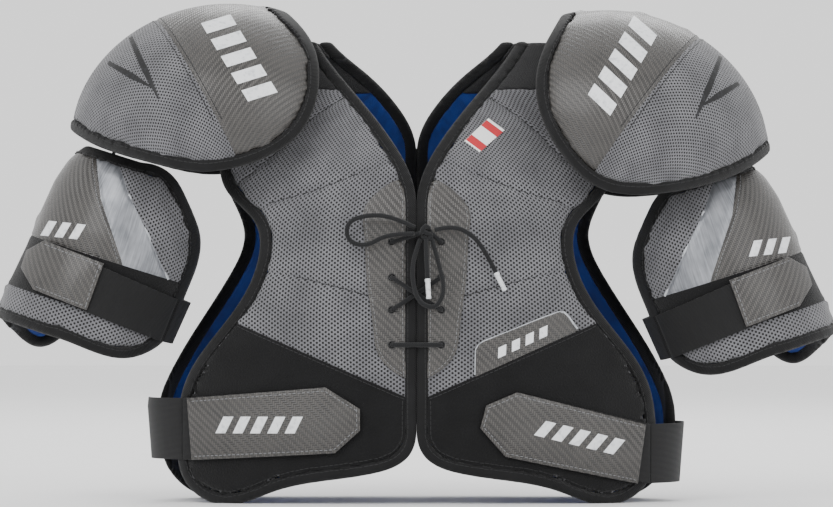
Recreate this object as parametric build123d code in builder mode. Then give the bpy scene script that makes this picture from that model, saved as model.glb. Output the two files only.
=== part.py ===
"""Hockey shoulder pads: laced chest and back panels, floating shoulder caps and hanging biceps guards.

Frame: +Z up as worn, -Y is the wearer's front, +X the wearer's left. The origin is the middle of the base
on which the hems stand. Every side piece is modelled on +X and mirrored for the wearer's right.
Lengths are in millimetres.
"""

import os
from math import atan2, cos, hypot, pi, radians, sin, tan

from build123d import *

# ---- panel layers, measured inwards from the outer fabric ----
PAD_THICKNESS = 7.0
PLATE_THICKNESS = 1.7
LINER_THICKNESS = 3.6
LAYER_GAP = 0.3
BINDING_WIDTH = 8.0
BINDING_PROUD = 0.5
EDGE_GAP = 0.3

# ---- surface fabrics and straps that lie on the outside of a panel ----
PATCH_THICKNESS = 1.0
ELASTIC_THICKNESS = 1.7
HOOK_THICKNESS = 1.2
TAB_THICKNESS = 1.8

# ---- torso ----
CENTRE_GAP = 2.0
FAR = 400.0
YOKE_HEIGHT = 346.0
# height, half width and half depth of the outer fabric
TORSO_SECTIONS = [
    (-12, 219, 95),
    (80, 226, 102),
    (160, 219, 104),
    (235, 203, 97),
    (285, 186, 80),
    (325, 168, 57),
    (355, 150, 38),
    (376, 134, 24),
    (388, 120, 15),
]
OPEN_TOP = 410.0
CHEST_HEM = [(40, 26), (120, 11), (163, -0.6), (193, 16), (201, 55), (193, 103), (156, 156), (132, 203),
             (133, 233), (160, 264), (164, 300), (140, 350)]
CHEST_NECK = [(78, 376), (51, 342), (21, 303), (6, 275)]
CHEST_CORNER = (9, 39)
CHEST_MEDIAL = (60, 245)
BACK_HEM = [(40, 27), (120, 12), (163, -0.6), (201, 14), (218, 52), (218, 82), (208, 110), (160, 190),
            (147, 225), (165, 275), (166, 310), (145, 350)]
BACK_NECK = [(66, 381), (44, 363), (17, 335), (5, 315)]
BACK_CORNER = (9, 38)
BACK_MEDIAL = (58, 296)
OPEN_TOP_OUTER = 122
CHEST_PLATE = [(38, 62), (150, 30), (176, 50), (172, 96), (134, 150), (108, 205), (110, 245), (138, 285),
               (140, 332), (96, 332), (62, 300), (52, 265), (52, 110)]
BACK_PLATE = [(34, 66), (150, 32), (190, 45), (192, 90), (136, 190), (122, 226), (142, 280), (142, 332),
              (80, 332), (40, 305)]
PANELS = {
    "chest": {"hem": CHEST_HEM, "neck": CHEST_NECK, "corner": CHEST_CORNER, "medial": CHEST_MEDIAL, "top": 96,
              "plate": CHEST_PLATE},
    "back": {"hem": BACK_HEM, "neck": BACK_NECK, "corner": BACK_CORNER, "medial": BACK_MEDIAL, "top": 84,
             "plate": BACK_PLATE},
}
LOOP_PANEL_TOP = [(0, 86), (150, 151)]
FACING = [(20, 269), (35, 258), (44, 245), (44, 230), (41, 185), (36, 148), (32, 126), (20, 112)]
FACING_ENDS = (272, 103)
GUSSET_HALF_WIDTH = 26.0
GUSSET_HEIGHTS = (62, 300)

# ---- lacing ----
EYELET_X = 20.5
EYELET_HEIGHTS = [133.5, 162.5, 189.5, 219.0]
LACE_DIAMETER = 4.0
LACE_HOLE_CLEARANCE = 0.8
LACE_DIP = 2.6
LACE_LIFT = 2.9
LACE_CROSSING = 4.6
AGLET_LENGTH = 17.0
AGLET_DIAMETER = 5.0
KNOT_CENTRE = (8.0, 227.0)
KNOT_RADIUS = 6.5
KNOT_LIFT = 1.8
RUN_SHARE = 0.45
# free runs of the bow, from the knot outwards
BOW_RIGHT = [(-1, -108, 231), (-19, -107, 240), (-40, -106, 242), (-58, -103, 236), (-58, -102, 220),
             (-42, -104, 215), (-24, -108, 226), (-2, -111.5, 226)]
BOW_LEFT = [(3, -108, 221), (-2, -113, 208), (-4, -117, 190), (1, -118, 169), (16, -118, 163),
            (24, -117, 179), (18, -113, 203), (13, -108, 221)]
END_LEFT = [(15, -108.5, 229), (30, -107, 233), (47, -105, 225), (58, -103, 210), (66, -102, 194)]
END_RIGHT = [(8, -112, 221), (8, -114.5, 211), (8.5, -116, 201), (9.2, -116.5, 189)]

# ---- shoulder caps: one mould, but each rides on its own shoulder at its own angle ----
CAP_HALF_LENGTH = 126.0
CAP_RADIUS = 107.0
CAP_PLATE_MARGIN = 16.0
CAP_POSE = {"right": {"centre": (168, 314), "tilt": 12}, "left": {"centre": (175, 307), "tilt": 20}}
CAP_RIM = {
    "right": [(130, 430), (106, 409), (88, 385), (83, 350), (98, 311), (140, 285), (184, 279), (227, 288),
              (269, 301), (287, 311), (310, 330)],
    "left": [(134, 430), (118, 401), (103, 368), (102, 336), (119, 297), (153, 265), (199, 260), (250, 270),
             (284, 285), (300, 297), (315, 310)],
}
CAP_STRAP_WIDTH = 44.0
CAP_STRAP_THICKNESS = 1.8
CAP_STRAP_END = 165.0
CAP_STRAP_LOW = 350.0

# ---- biceps guards: positions are (outwards, down the arm) from the top of the guard ----
ARM_TILT = 17.5
ARM_ORIGIN = {"right": (240, 293), "left": (240, 279)}
# distance down the arm, centre shift outwards, half width, half depth
ARM_SECTIONS = [
    (-8, -4, 34, 33),
    (5, -6, 46, 45),
    (20, -8, 60, 56),
    (40, -11, 69, 64),
    (73, -11, 73, 70),
    (100, -9, 73, 71),
    (142, -3.5, 73.5, 72),
    (190, -3, 72, 71),
]
ARM_FRONT = [(-10, 5), (-38, 8), (-58, 27), (-75, 52), (-78.5, 73), (-76.5, 103), (-71, 142), (-50, 163),
             (-10, 166), (20, 165)]
ARM_BACK = [(34, 5), (15, 14), (6, 60), (7, 120), (14, 163), (32, 181), (56, 172), (66, 165)]
ARM_PLATE = [(-34, 26), (-50, 50), (-50, 82), (60, 82), (60, 26)]

# ---- straps that hang each guard from its cap ----
HANGER_WIDTH = 25.0
HANGER_THICKNESS = 1.8
HANGER_OUT = 17.0
HANGER_END = 32.0
HANGER_BEND = 62.0

# ---- hook and loop straps ----
CHEST_TAB = {
    "right": [(193, 88), (76, 98), (47, 80), (47, 62), (68, 43), (189, 36)],
    "left": [(193, 66), (84, 94), (58, 83), (53, 64), (74, 40), (186, 16)],
}
CHEST_STRAP_LOW = {"right": 36.5, "left": 17.0}
CHEST_STRAP_WIDTH = 50.0
CHEST_FOLD = 197.0
CHEST_ANCHOR_BACK = 165.0
ARM_TAB = [(-7, 94), (48, 91), (61, 104), (61, 119), (44, 133), (-5, 136)]
ARM_STRAP_FOLD = [(-72, 143), (-75, 105)]
ARM_FOLD_GAP = 1.6
ARM_ANCHOR_BACK = 30.0
HOOK_SHARE = 0.88

SIDES = {"right": -1, "left": 1}


def save(part, name):
    """Labels one finished piece and writes its STEP file."""
    part.label = name
    export_step(part, f"parts/{name}.step")


def placed(part, side):
    """A piece modelled on +X, mirrored when it is for the wearer's right."""
    return part if side == "left" else mirror(part, about=Plane.YZ)


# ---- torso forms ----
def offset_sections(inset):
    """The torso sections moved in from the outer fabric by inset; the last one is the shoulder's flat top."""
    moved = []
    last = len(TORSO_SECTIONS) - 1
    for index, (height, half_width, half_depth) in enumerate(TORSO_SECTIONS):
        below = TORSO_SECTIONS[max(index - 1, 0)]
        above = TORSO_SECTIONS[min(index + 1, last)]
        slope = atan2(below[2] - above[2], above[0] - below[0])
        moved.append((height - inset * sin(slope), half_width - inset, half_depth - inset * cos(slope)))
    top = TORSO_SECTIONS[last][0] - inset
    low, high = moved[-2:]
    share = (top - low[0]) / (high[0] - low[0])
    moved[-1] = (top, high[1], low[2] + share * (high[2] - low[2]))
    return moved


def torso_form(inset):
    """The closed solid inside the torso surface that lies inset within the outer fabric."""
    with BuildPart() as form:
        for height, half_width, half_depth in offset_sections(inset):
            with BuildSketch(Plane.XY.offset(height)):
                Ellipse(half_width, half_depth)
        loft(ruled=True)
    return form.part


def torso_layer(outer, inner):
    """The material between two torso surfaces."""
    return torso_form(outer) - torso_form(inner)


def moved_in(chain, margin, first, last):
    """An open chain of points moved to its left by margin; first and last are its end directions."""
    moved = []
    for index, (across, height) in enumerate(chain):
        before = chain[max(index - 1, 0)]
        after = chain[min(index + 1, len(chain) - 1)]
        run, rise = after[0] - before[0], after[1] - before[1]
        if index == 0:
            run, rise = first
        elif index == len(chain) - 1:
            run, rise = last
        length = hypot(run, rise)
        moved.append((across - margin * rise / length, height + margin * run / length))
    return moved


def panel_face(area, margin=0.0):
    """A torso panel's outline as seen from the front, moved in by margin and open over the shoulder."""
    shape = PANELS[area]
    edge = CENTRE_GAP / 2
    low, high = shape["medial"]
    hem = [(edge, low), shape["corner"], *shape["hem"], (OPEN_TOP_OUTER, OPEN_TOP)]
    neck = [(shape["top"], OPEN_TOP), *shape["neck"], (edge, high)]
    hem = moved_in(hem, margin, (0, -1), (0, 1))
    neck = moved_in(neck, margin, (-1, -1.6), (0, -1))
    with BuildSketch(Plane.XZ) as outline:
        with BuildLine():
            Spline(*hem)
            Line(hem[-1], neck[0])
            Spline(*neck)
            Line(neck[-1], hem[0])
        make_face()
    return outline.sketch


def plate_face(area):
    """A plate's straight-sided outline."""
    with BuildSketch(Plane.XZ) as outline:
        with BuildLine():
            Polyline(*PANELS[area]["plate"], close=True)
        make_face()
    return outline.sketch


def half_space(lowest, highest, near, far):
    """A box from the centre plane outwards between two heights, at depths near to far."""
    with BuildPart() as box:
        with Locations((FAR / 2, (near + far) / 2, (lowest + highest) / 2)):
            Box(FAR, far - near, highest - lowest)
    return box.part


def column(face, direction):
    """The outline carried to the front (+1) or to the back (-1), and cut flat where the hems rest."""
    with BuildPart() as prism:
        add(extrude(face, amount=direction * FAR))
        add(half_space(0, OPEN_TOP, -FAR, FAR), mode=Mode.INTERSECT)
    return prism.part


PLATE_OUTER = PAD_THICKNESS + LAYER_GAP
LINER_OUTER = PLATE_OUTER + PLATE_THICKNESS + LAYER_GAP
LINER_INNER = LINER_OUTER + LINER_THICKNESS
PATCH_INNER = -LAYER_GAP
PATCH_OUTER = PATCH_INNER - PATCH_THICKNESS
ANCHOR_INNER = -BINDING_PROUD - LAYER_GAP
ANCHOR_OUTER = ANCHOR_INNER - ELASTIC_THICKNESS
HOOK_INNER = PATCH_OUTER - LAYER_GAP
HOOK_OUTER = HOOK_INNER - HOOK_THICKNESS
TAB_INNER = HOOK_OUTER - LAYER_GAP
TAB_OUTER = TAB_INNER - TAB_THICKNESS

torso_pad = torso_layer(0, PAD_THICKNESS)
torso_plate = torso_layer(PLATE_OUTER, PLATE_OUTER + PLATE_THICKNESS)
torso_liner = torso_layer(LINER_OUTER, LINER_INNER)
torso_binding = torso_layer(-BINDING_PROUD, LINER_INNER + BINDING_PROUD)
torso_patch = torso_layer(PATCH_OUTER, PATCH_INNER)
torso_anchor = torso_layer(ANCHOR_OUTER, ANCHOR_INNER)
torso_hook = torso_layer(HOOK_OUTER, HOOK_INNER)
torso_tab = torso_layer(TAB_OUTER, TAB_INNER)

below_yoke = half_space(-FAR, YOKE_HEIGHT, -FAR, FAR)
above_yoke = half_space(YOKE_HEIGHT + EDGE_GAP, OPEN_TOP, -FAR, FAR)
panels = {}
for area, direction in (("chest", 1), ("back", -1)):
    seat = EDGE_GAP / 2 * -direction
    panels[area] = {
        "outer": column(panel_face(area), direction),
        "binding": column(panel_face(area, BINDING_WIDTH), direction),
        "inner": column(panel_face(area, BINDING_WIDTH + EDGE_GAP), direction),
        "plate": column(plate_face(area), direction),
        "half": half_space(-FAR, FAR, *sorted((seat, -direction * FAR))),
    }

# ---- padded chest and back panels, each a foam pad, a plastic plate, a liner and an edge binding ----
layers = {}
for area, cuts in panels.items():
    with BuildPart() as pad:
        add(torso_pad)
        add(cuts["inner"], mode=Mode.INTERSECT)
        add(below_yoke, mode=Mode.INTERSECT)
    with BuildPart() as plate:
        add(torso_plate)
        add(cuts["plate"], mode=Mode.INTERSECT)
        add(below_yoke, mode=Mode.INTERSECT)
    with BuildPart() as liner:
        add(torso_liner)
        add(cuts["inner"], mode=Mode.INTERSECT)
        add(below_yoke, mode=Mode.INTERSECT)
    with BuildPart() as binding:
        add(torso_binding)
        add(cuts["outer"], mode=Mode.INTERSECT)
        add(cuts["binding"], mode=Mode.SUBTRACT)
        add(cuts["half"], mode=Mode.INTERSECT)
    layers[area] = {"pad": pad.part, "plate": plate.part, "liner": liner.part, "binding": binding.part}

# ---- shoulder yoke: the knitted saddle that joins a chest panel to a back panel over the shoulder ----
with BuildPart() as shoulder_yoke:
    add(torso_layer(0, LINER_INNER))
    add(panels["chest"]["inner"] + panels["back"]["inner"], mode=Mode.INTERSECT)
    add(above_yoke, mode=Mode.INTERSECT)

# ---- loop fabric over the lower chest, where the straps grip ----
with BuildPart() as loop_panel:
    add(torso_patch)
    add(panels["chest"]["inner"], mode=Mode.INTERSECT)
    with BuildSketch(Plane.XZ):
        with BuildLine():
            Polyline((0, -FAR), *LOOP_PANEL_TOP, (FAR, LOOP_PANEL_TOP[1][1]), (FAR, -FAR), close=True)
        make_face()
    extrude(amount=FAR, mode=Mode.INTERSECT)

# ---- laced facing: vinyl that stiffens the front edge around the eyelets ----
with BuildPart() as lace_facing:
    add(torso_patch)
    add(panels["chest"]["inner"], mode=Mode.INTERSECT)
    with BuildSketch(Plane.XZ):
        with BuildLine():
            Line((0, FACING_ENDS[1]), (0, FACING_ENDS[0]))
            Spline((0, FACING_ENDS[0]), *FACING, (0, FACING_ENDS[1]))
        make_face()
        with Locations([(EYELET_X, height) for height in EYELET_HEIGHTS]):
            Circle(LACE_DIAMETER / 2 + LACE_HOLE_CLEARANCE, mode=Mode.SUBTRACT)
    extrude(amount=FAR, mode=Mode.INTERSECT)


def depth_at(form, across, height):
    """How far a closed form reaches forward from the side plane at one place on the front."""
    ray = Edge.make_line((across, 0, height), (across, -FAR, height))
    return -(ray & form).bounding_box().min.Y


def corner_radii(points):
    """A bend radius for each inner point of a cord's route."""
    radii = []
    for before, here, after in zip(points, points[1:], points[2:]):
        first = Vector(*here) - Vector(*before)
        second = Vector(*after) - Vector(*here)
        half_turn = radians(first.get_angle(second)) / 2
        radii.append(RUN_SHARE * min(first.length, second.length) / tan(half_turn))
    return radii


def cord(name, points, diameter):
    """A round cord swept along its route, with its tightest bend and its length printed."""
    radii = corner_radii(points)
    with BuildPart() as run:
        with BuildLine() as route:
            FilletPolyline(*points, radius=radii)
        with BuildSketch(route.line ^ 0):
            Circle(diameter / 2)
        sweep(transition=Transition.RIGHT)
    length = sum(edge.length for edge in route.edges())
    share = run.part.volume / (length * pi * diameter**2 / 4)
    print(f"{name}: length {length:.0f} mm, tightest bend {min(radii):.1f} mm, volume share {share:.3f}")
    return run.part


# ---- lacing: one round lace that closes the front, over the facing and under it between the eyelets ----
form_outer = torso_form(0)
over = PATCH_THICKNESS + LAYER_GAP + LACE_LIFT
rows = [(height, depth_at(form_outer, EYELET_X, height)) for height in EYELET_HEIGHTS]


def lace_point(row, side, lift):
    """A place on the lace at one eyelet, lifted off the pad's fabric or sunk under it."""
    height, depth = rows[row]
    return (side * EYELET_X, -depth - lift, height)


crossing_height = (EYELET_HEIGHTS[1] + EYELET_HEIGHTS[2]) / 2
crossing_depth = depth_at(form_outer, 0, crossing_height) + over
knot_depth = depth_at(form_outer, KNOT_CENTRE[0], KNOT_CENTRE[1]) + KNOT_RADIUS + KNOT_LIFT
knot = (KNOT_CENTRE[0], -knot_depth, KNOT_CENTRE[1])
lace_route = [
    (knot[0] - KNOT_RADIUS / 2, knot[1], knot[2]),
    lace_point(3, -1, over),
    lace_point(3, -1, -LACE_DIP),
    lace_point(2, -1, -LACE_DIP),
    lace_point(2, -1, over),
    (0, -crossing_depth - LACE_CROSSING, crossing_height),
    lace_point(1, 1, over),
    lace_point(1, 1, -LACE_DIP),
    lace_point(0, 1, -LACE_DIP),
    lace_point(0, 1, over),
    lace_point(0, -1, over),
    lace_point(0, -1, -LACE_DIP),
    lace_point(1, -1, -LACE_DIP),
    lace_point(1, -1, over),
    (0, -crossing_depth, crossing_height),
    lace_point(2, 1, over),
    lace_point(2, 1, -LACE_DIP),
    lace_point(3, 1, -LACE_DIP),
    lace_point(3, 1, over),
    (knot[0] + KNOT_RADIUS / 2, knot[1], knot[2]),
]
with BuildPart() as lacing:
    add(cord("lacing", lace_route, LACE_DIAMETER))
    with Locations(knot):
        Sphere(KNOT_RADIUS, rotation=(90, 0, 0))

# ---- channels in the pad's foam, where the lace runs from one eyelet to the next ----
channel_radius = LACE_DIAMETER / 2 + LACE_HOLE_CLEARANCE
with BuildPart() as lace_channels:
    add(torso_layer(-LAYER_GAP, LACE_DIP + channel_radius))
    with BuildSketch(Plane.XZ):
        for low, high in (EYELET_HEIGHTS[:2], EYELET_HEIGHTS[2:]):
            with Locations((EYELET_X, (low + high) / 2)):
                SlotCenterToCenter(high - low, 2 * channel_radius, rotation=90)
    extrude(amount=FAR, mode=Mode.INTERSECT)
layers["chest"]["pad"] -= lace_channels.part

# ---- bow: two free loops and two free ends, each end tipped with a plastic aglet ----
bow = {
    "bow_loop_right": cord("bow_loop_right", BOW_RIGHT, LACE_DIAMETER),
    "bow_loop_left": cord("bow_loop_left", BOW_LEFT, LACE_DIAMETER),
    "lace_end_left": cord("lace_end_left", END_LEFT, LACE_DIAMETER),
    "lace_end_right": cord("lace_end_right", END_RIGHT, LACE_DIAMETER),
}
with BuildPart() as aglets:
    for run in (END_LEFT, END_RIGHT):
        direction = Vector(*run[-1]) - Vector(*run[-2])
        start = Vector(*run[-1]) + direction.normalized() * EDGE_GAP
        with BuildSketch(Plane(origin=start, z_dir=direction)):
            Circle(AGLET_DIAMETER / 2)
        extrude(amount=AGLET_LENGTH)

# ---- spine gusset: an elastic strip that joins the two back panels ----
with BuildPart() as spine_gusset:
    add(torso_layer(ANCHOR_OUTER, ANCHOR_INNER))
    low, high = GUSSET_HEIGHTS
    with BuildSketch(Plane.XZ):
        with Locations((0, (low + high) / 2)):
            RectangleRounded(2 * GUSSET_HALF_WIDTH, high - low, GUSSET_HALF_WIDTH / 4)
    extrude(amount=-FAR, mode=Mode.INTERSECT)


# ---- hook and loop straps ----
def between(start, end, share):
    """A place on the way from start to end."""
    return start[0] + share * (end[0] - start[0]), start[1] + share * (end[1] - start[1])


def cut_layer(layer, points, direction=1):
    """The part of a thin layer inside a straight-sided outline, on the front (+1) or the back (-1)."""
    with BuildPart() as piece:
        add(layer)
        with BuildSketch(Plane.XZ):
            with BuildLine():
                Polyline(*points, close=True)
            make_face()
        extrude(amount=direction * FAR, mode=Mode.INTERSECT)
    return piece.part


def strap_flap(hook_layer, tab_layer, tab, fold_top, fold_bottom):
    """The loose end of a strap: elastic with its hook patch, and the stitched vinyl tab over its end."""
    grip_top = between(tab[0], tab[1], HOOK_SHARE)
    grip_bottom = between(tab[5], tab[4], HOOK_SHARE)
    elastic = cut_layer(hook_layer, [fold_bottom, grip_bottom, grip_top, fold_top])
    return {"elastic": elastic, "tab": cut_layer(tab_layer, tab)}


def chest_strap(side):
    """The elastic sewn to the back panel, round to the fold line, and the flap that peels off the chest."""
    tab = CHEST_TAB[side]
    low = CHEST_STRAP_LOW[side]
    high = low + CHEST_STRAP_WIDTH
    top, bottom = tab[0][1], tab[5][1]
    front = [(CHEST_FOLD, bottom), (CHEST_FOLD, top), (FAR, high), (FAR, low)]
    back = [(CHEST_ANCHOR_BACK, low), (CHEST_ANCHOR_BACK, high), (FAR, high), (FAR, low)]
    with BuildPart() as anchor:
        add(cut_layer(torso_anchor, front))
        add(cut_layer(torso_anchor, back, -1))
    fold = CHEST_FOLD - EDGE_GAP
    flap = strap_flap(torso_hook, torso_tab, tab, (fold, top), (fold, bottom))
    return {"anchor": anchor.part, **flap}


# ---- shoulder caps ----
def cap_form(side, inset):
    """The closed solid inside the cap's surface that lies inset within its outer fabric."""
    pose = CAP_POSE[side]
    with BuildPart() as form:
        with BuildSketch(Plane.XZ):
            Ellipse(CAP_HALF_LENGTH - inset, CAP_RADIUS - inset)
            with Locations((0, -CAP_RADIUS)):
                Rectangle(4 * CAP_RADIUS, 2 * CAP_RADIUS, mode=Mode.SUBTRACT)
        revolve(axis=Axis.X)
    across, height = pose["centre"]
    return Location((across, 0, height), (0, pose["tilt"], 0)) * form.part


def cap_column(side, margin=0.0):
    """The cap's rim outline, moved in by margin and carried through from front to back."""
    rim = moved_in(CAP_RIM[side], margin, (-1, -0.9), (1, 0.9))
    with BuildPart() as prism:
        with BuildSketch(Plane.XZ):
            with BuildLine():
                Spline(*rim)
                Polyline(rim[-1], (FAR, rim[-1][1]), (FAR, 1.5 * FAR), (rim[0][0], 1.5 * FAR), rim[0])
            make_face()
        extrude(amount=FAR, both=True)
    return prism.part


def cap_piece(side, outer, inner, margin):
    """A layer of the cap between two insets, trimmed to the rim moved in by margin."""
    with BuildPart() as piece:
        add(cap_form(side, outer))
        add(cap_form(side, inner), mode=Mode.SUBTRACT)
        add(cap_column(side, margin), mode=Mode.INTERSECT)
    return piece.part


def shoulder_cap(side):
    """The padded cap: foam under its cover, a moulded plate, an edge binding, and the webbing sewn inside.

    The webbing ties the cap to the shoulder, and its outer tail is what the guard hangs from.
    """
    strap_outer = PLATE_OUTER + PLATE_THICKNESS + LAYER_GAP
    with BuildPart() as binding:
        add(cap_piece(side, -BINDING_PROUD, PAD_THICKNESS + BINDING_PROUD, 0))
        add(cap_column(side, BINDING_WIDTH), mode=Mode.SUBTRACT)
    with BuildPart() as strap:
        add(cap_piece(side, strap_outer, strap_outer + CAP_STRAP_THICKNESS, CAP_PLATE_MARGIN))
        with Locations((CAP_STRAP_END / 2, 0, CAP_STRAP_LOW + FAR / 2)):
            Box(CAP_STRAP_END, CAP_STRAP_WIDTH, FAR, mode=Mode.INTERSECT)
        add(web_run(side, HANGER_BEND + EDGE_GAP, FAR) & cap_form(side, strap_outer))
    return {
        "pad": cap_piece(side, 0, PAD_THICKNESS, BINDING_WIDTH + EDGE_GAP),
        "plate": cap_piece(side, PLATE_OUTER, PLATE_OUTER + PLATE_THICKNESS, CAP_PLATE_MARGIN),
        "binding": binding.part,
        "strap": strap.part,
    }


# ---- biceps guards, modelled upright with the top at the origin and then hung at their own angle ----
def arm_form(inset):
    """The closed solid inside the guard's surface that lies inset within its outer fabric."""
    with BuildPart() as form:
        for down, shift, half_width, half_depth in ARM_SECTIONS:
            with BuildSketch(Plane.XY.offset(-down)):
                with Locations((shift, 0)):
                    Ellipse(half_width - inset, half_depth - inset)
        loft(ruled=True)
    return form.part


def arm_layer(outer, inner):
    """The material between two surfaces of the guard."""
    return arm_form(outer) - arm_form(inner)


def arm_column(margin=0.0):
    """The guard's front and back outlines, moved in by margin and carried to their own sides."""
    with BuildPart() as prism:
        for outline, direction in ((ARM_FRONT, 1), (ARM_BACK, -1)):
            chain = [(outwards, -down) for outwards, down in outline]
            chain = moved_in(chain, margin, (-1, 0), (1, 0))
            with BuildSketch(Plane.XZ) as face:
                with BuildLine():
                    Spline(*chain)
                    Polyline(chain[-1], (FAR, chain[-1][1]), (FAR, chain[0][1]), chain[0])
                make_face()
            extrude(face.sketch, amount=direction * FAR)
    return prism.part


def arm_piece(outer, inner, margin):
    """A layer of the guard between two insets, trimmed to the outline moved in by margin."""
    with BuildPart() as piece:
        add(arm_layer(outer, inner))
        add(arm_column(margin), mode=Mode.INTERSECT)
    return piece.part


def biceps_guard():
    """Every piece of one guard, upright: foam, plate, liner, binding, and the strap that closes it."""
    with BuildPart() as binding:
        add(arm_piece(-BINDING_PROUD, LINER_INNER + BINDING_PROUD, 0))
        add(arm_column(BINDING_WIDTH), mode=Mode.SUBTRACT)
    tab = [(outwards, -down) for outwards, down in ARM_TAB]
    bottom, top = [(outwards, -down) for outwards, down in ARM_STRAP_FOLD]
    anchor_layer = arm_layer(ANCHOR_OUTER, ANCHOR_INNER)
    with BuildPart() as anchor:
        add(cut_layer(anchor_layer, [bottom, top, (-FAR, top[1]), (-FAR, bottom[1])]))
        back = [(-FAR, bottom[1]), (-FAR, top[1]), (ARM_ANCHOR_BACK, top[1]), (ARM_ANCHOR_BACK, bottom[1])]
        add(cut_layer(anchor_layer, back, -1))
    flap = strap_flap(
        arm_layer(HOOK_OUTER, HOOK_INNER),
        arm_layer(TAB_OUTER, TAB_INNER),
        tab,
        (top[0] + ARM_FOLD_GAP, top[1]),
        (bottom[0] + ARM_FOLD_GAP, bottom[1]),
    )
    plate = [(outwards, -down) for outwards, down in ARM_PLATE]
    return {
        "arm_pad": arm_piece(0, PAD_THICKNESS, BINDING_WIDTH + EDGE_GAP),
        "arm_plate": cut_layer(arm_layer(PLATE_OUTER, PLATE_OUTER + PLATE_THICKNESS), plate),
        "arm_liner": arm_piece(LINER_OUTER, LINER_INNER, BINDING_WIDTH + EDGE_GAP),
        "arm_binding": binding.part,
        "arm_strap_anchor": anchor.part,
        "arm_strap_elastic": flap["elastic"],
        "arm_strap_tab": flap["tab"],
    }


def web_run(side, low, high):
    """A straight run of the web strap that hangs a guard, between two heights above the guard's top."""
    with BuildPart() as run:
        with Locations((HANGER_OUT, 0, (low + high) / 2)):
            Box(HANGER_THICKNESS, HANGER_WIDTH, high - low)
    return arm_place[side] * run.part


def arm_hanger(side):
    """The web strap that hangs a guard, from its sewn end inside the guard up to the bend in its cap."""
    return web_run(side, -HANGER_END, HANGER_BEND)


arm_place = {
    side: Location((across, 0, height), (0, -ARM_TILT, 0)) for side, (across, height) in ARM_ORIGIN.items()
}
guard = biceps_guard()

os.makedirs("parts", exist_ok=True)
for side in SIDES:
    for area, pieces in layers.items():
        for piece, part in pieces.items():
            save(placed(part, side), f"{area}_{piece}_{side}")
    save(placed(shoulder_yoke.part, side), f"shoulder_yoke_{side}")
    save(placed(loop_panel.part, side), f"loop_panel_{side}")
    save(placed(lace_facing.part, side), f"lace_facing_{side}")
    for piece, part in chest_strap(side).items():
        save(placed(part, side), f"chest_strap_{piece}_{side}")
    for piece, part in shoulder_cap(side).items():
        save(placed(part, side), f"cap_{piece}_{side}")
    for piece, part in guard.items():
        save(placed(arm_place[side] * part, side), f"{piece}_{side}")
    save(placed(arm_hanger(side), side), f"arm_hanger_{side}")
for name, part in bow.items():
    save(part, name)
save(lacing.part, "lacing")
save(aglets.part, "aglets")
save(spine_gusset.part, "spine_gusset")
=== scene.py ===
"""Hockey shoulder pads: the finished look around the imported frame.

Lengths are metres in the frame's own axes: +Z up as worn, -Y the wearer's front, +X the wearer's left.
"""

import math

import bmesh
import bpy
import numpy as np
from mathutils import Matrix, Vector
from mathutils.bvhtree import BVHTree


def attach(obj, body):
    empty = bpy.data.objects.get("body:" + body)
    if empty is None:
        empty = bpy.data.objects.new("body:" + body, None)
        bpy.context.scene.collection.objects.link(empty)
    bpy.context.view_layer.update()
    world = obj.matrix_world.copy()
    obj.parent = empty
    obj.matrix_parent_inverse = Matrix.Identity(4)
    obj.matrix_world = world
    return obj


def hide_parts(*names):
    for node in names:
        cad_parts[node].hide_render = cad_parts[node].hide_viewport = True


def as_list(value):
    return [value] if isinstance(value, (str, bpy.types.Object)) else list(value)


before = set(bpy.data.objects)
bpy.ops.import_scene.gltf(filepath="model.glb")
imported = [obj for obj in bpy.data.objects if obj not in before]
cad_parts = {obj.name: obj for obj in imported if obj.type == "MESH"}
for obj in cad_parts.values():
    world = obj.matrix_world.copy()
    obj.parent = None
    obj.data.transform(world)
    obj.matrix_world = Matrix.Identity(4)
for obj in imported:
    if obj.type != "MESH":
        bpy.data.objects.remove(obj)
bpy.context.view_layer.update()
scene = bpy.context.scene
MM = 0.001
SIDES = {"right": -1, "left": 1}

# ---- Chest pads ----
# Each half of the chest is foam sewn into a cover of grey spacer mesh. Three quilting seams cross it, and
# between them the foam crowns up against the cloth.


def linear(colour):
    """An sRGB hex colour as linear red, green, blue and alpha."""
    channels = [int(colour[place:place + 2], 16) / 255 for place in (1, 3, 5)]
    return [c / 12.92 if c <= 0.04045 else ((c + 0.055) / 1.055) ** 2.4 for c in channels] + [1]


def add_node(tree, kind, inputs=None, feeds=None, **settings):
    """Adds a shader node. Inputs are values, hex colours, nodes or sockets; feeds is the socket it drives."""
    node = tree.nodes.new("ShaderNode" + kind)
    for setting, value in settings.items():
        setattr(node, setting, value)
    for socket, value in (inputs or {}).items():
        if isinstance(value, bpy.types.Node):
            value = next(out for out in value.outputs if out.enabled)
        if isinstance(value, bpy.types.NodeSocket):
            tree.links.new(value, node.inputs[socket])
        else:
            node.inputs[socket].default_value = linear(value) if isinstance(value, str) else value
    if feeds is not None:
        tree.links.new(next(out for out in node.outputs if out.enabled), feeds)
    return node


def new_material(name, **constants):
    """A Principled material whose even values are set on the shader itself, with its tree and shader."""
    material = bpy.data.materials.new(name)
    material.use_nodes = True
    shader = material.node_tree.nodes["Principled BSDF"]
    for socket, value in constants.items():
        shader.inputs[socket.replace("_", " ")].default_value = value
    return material, material.node_tree, shader


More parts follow.
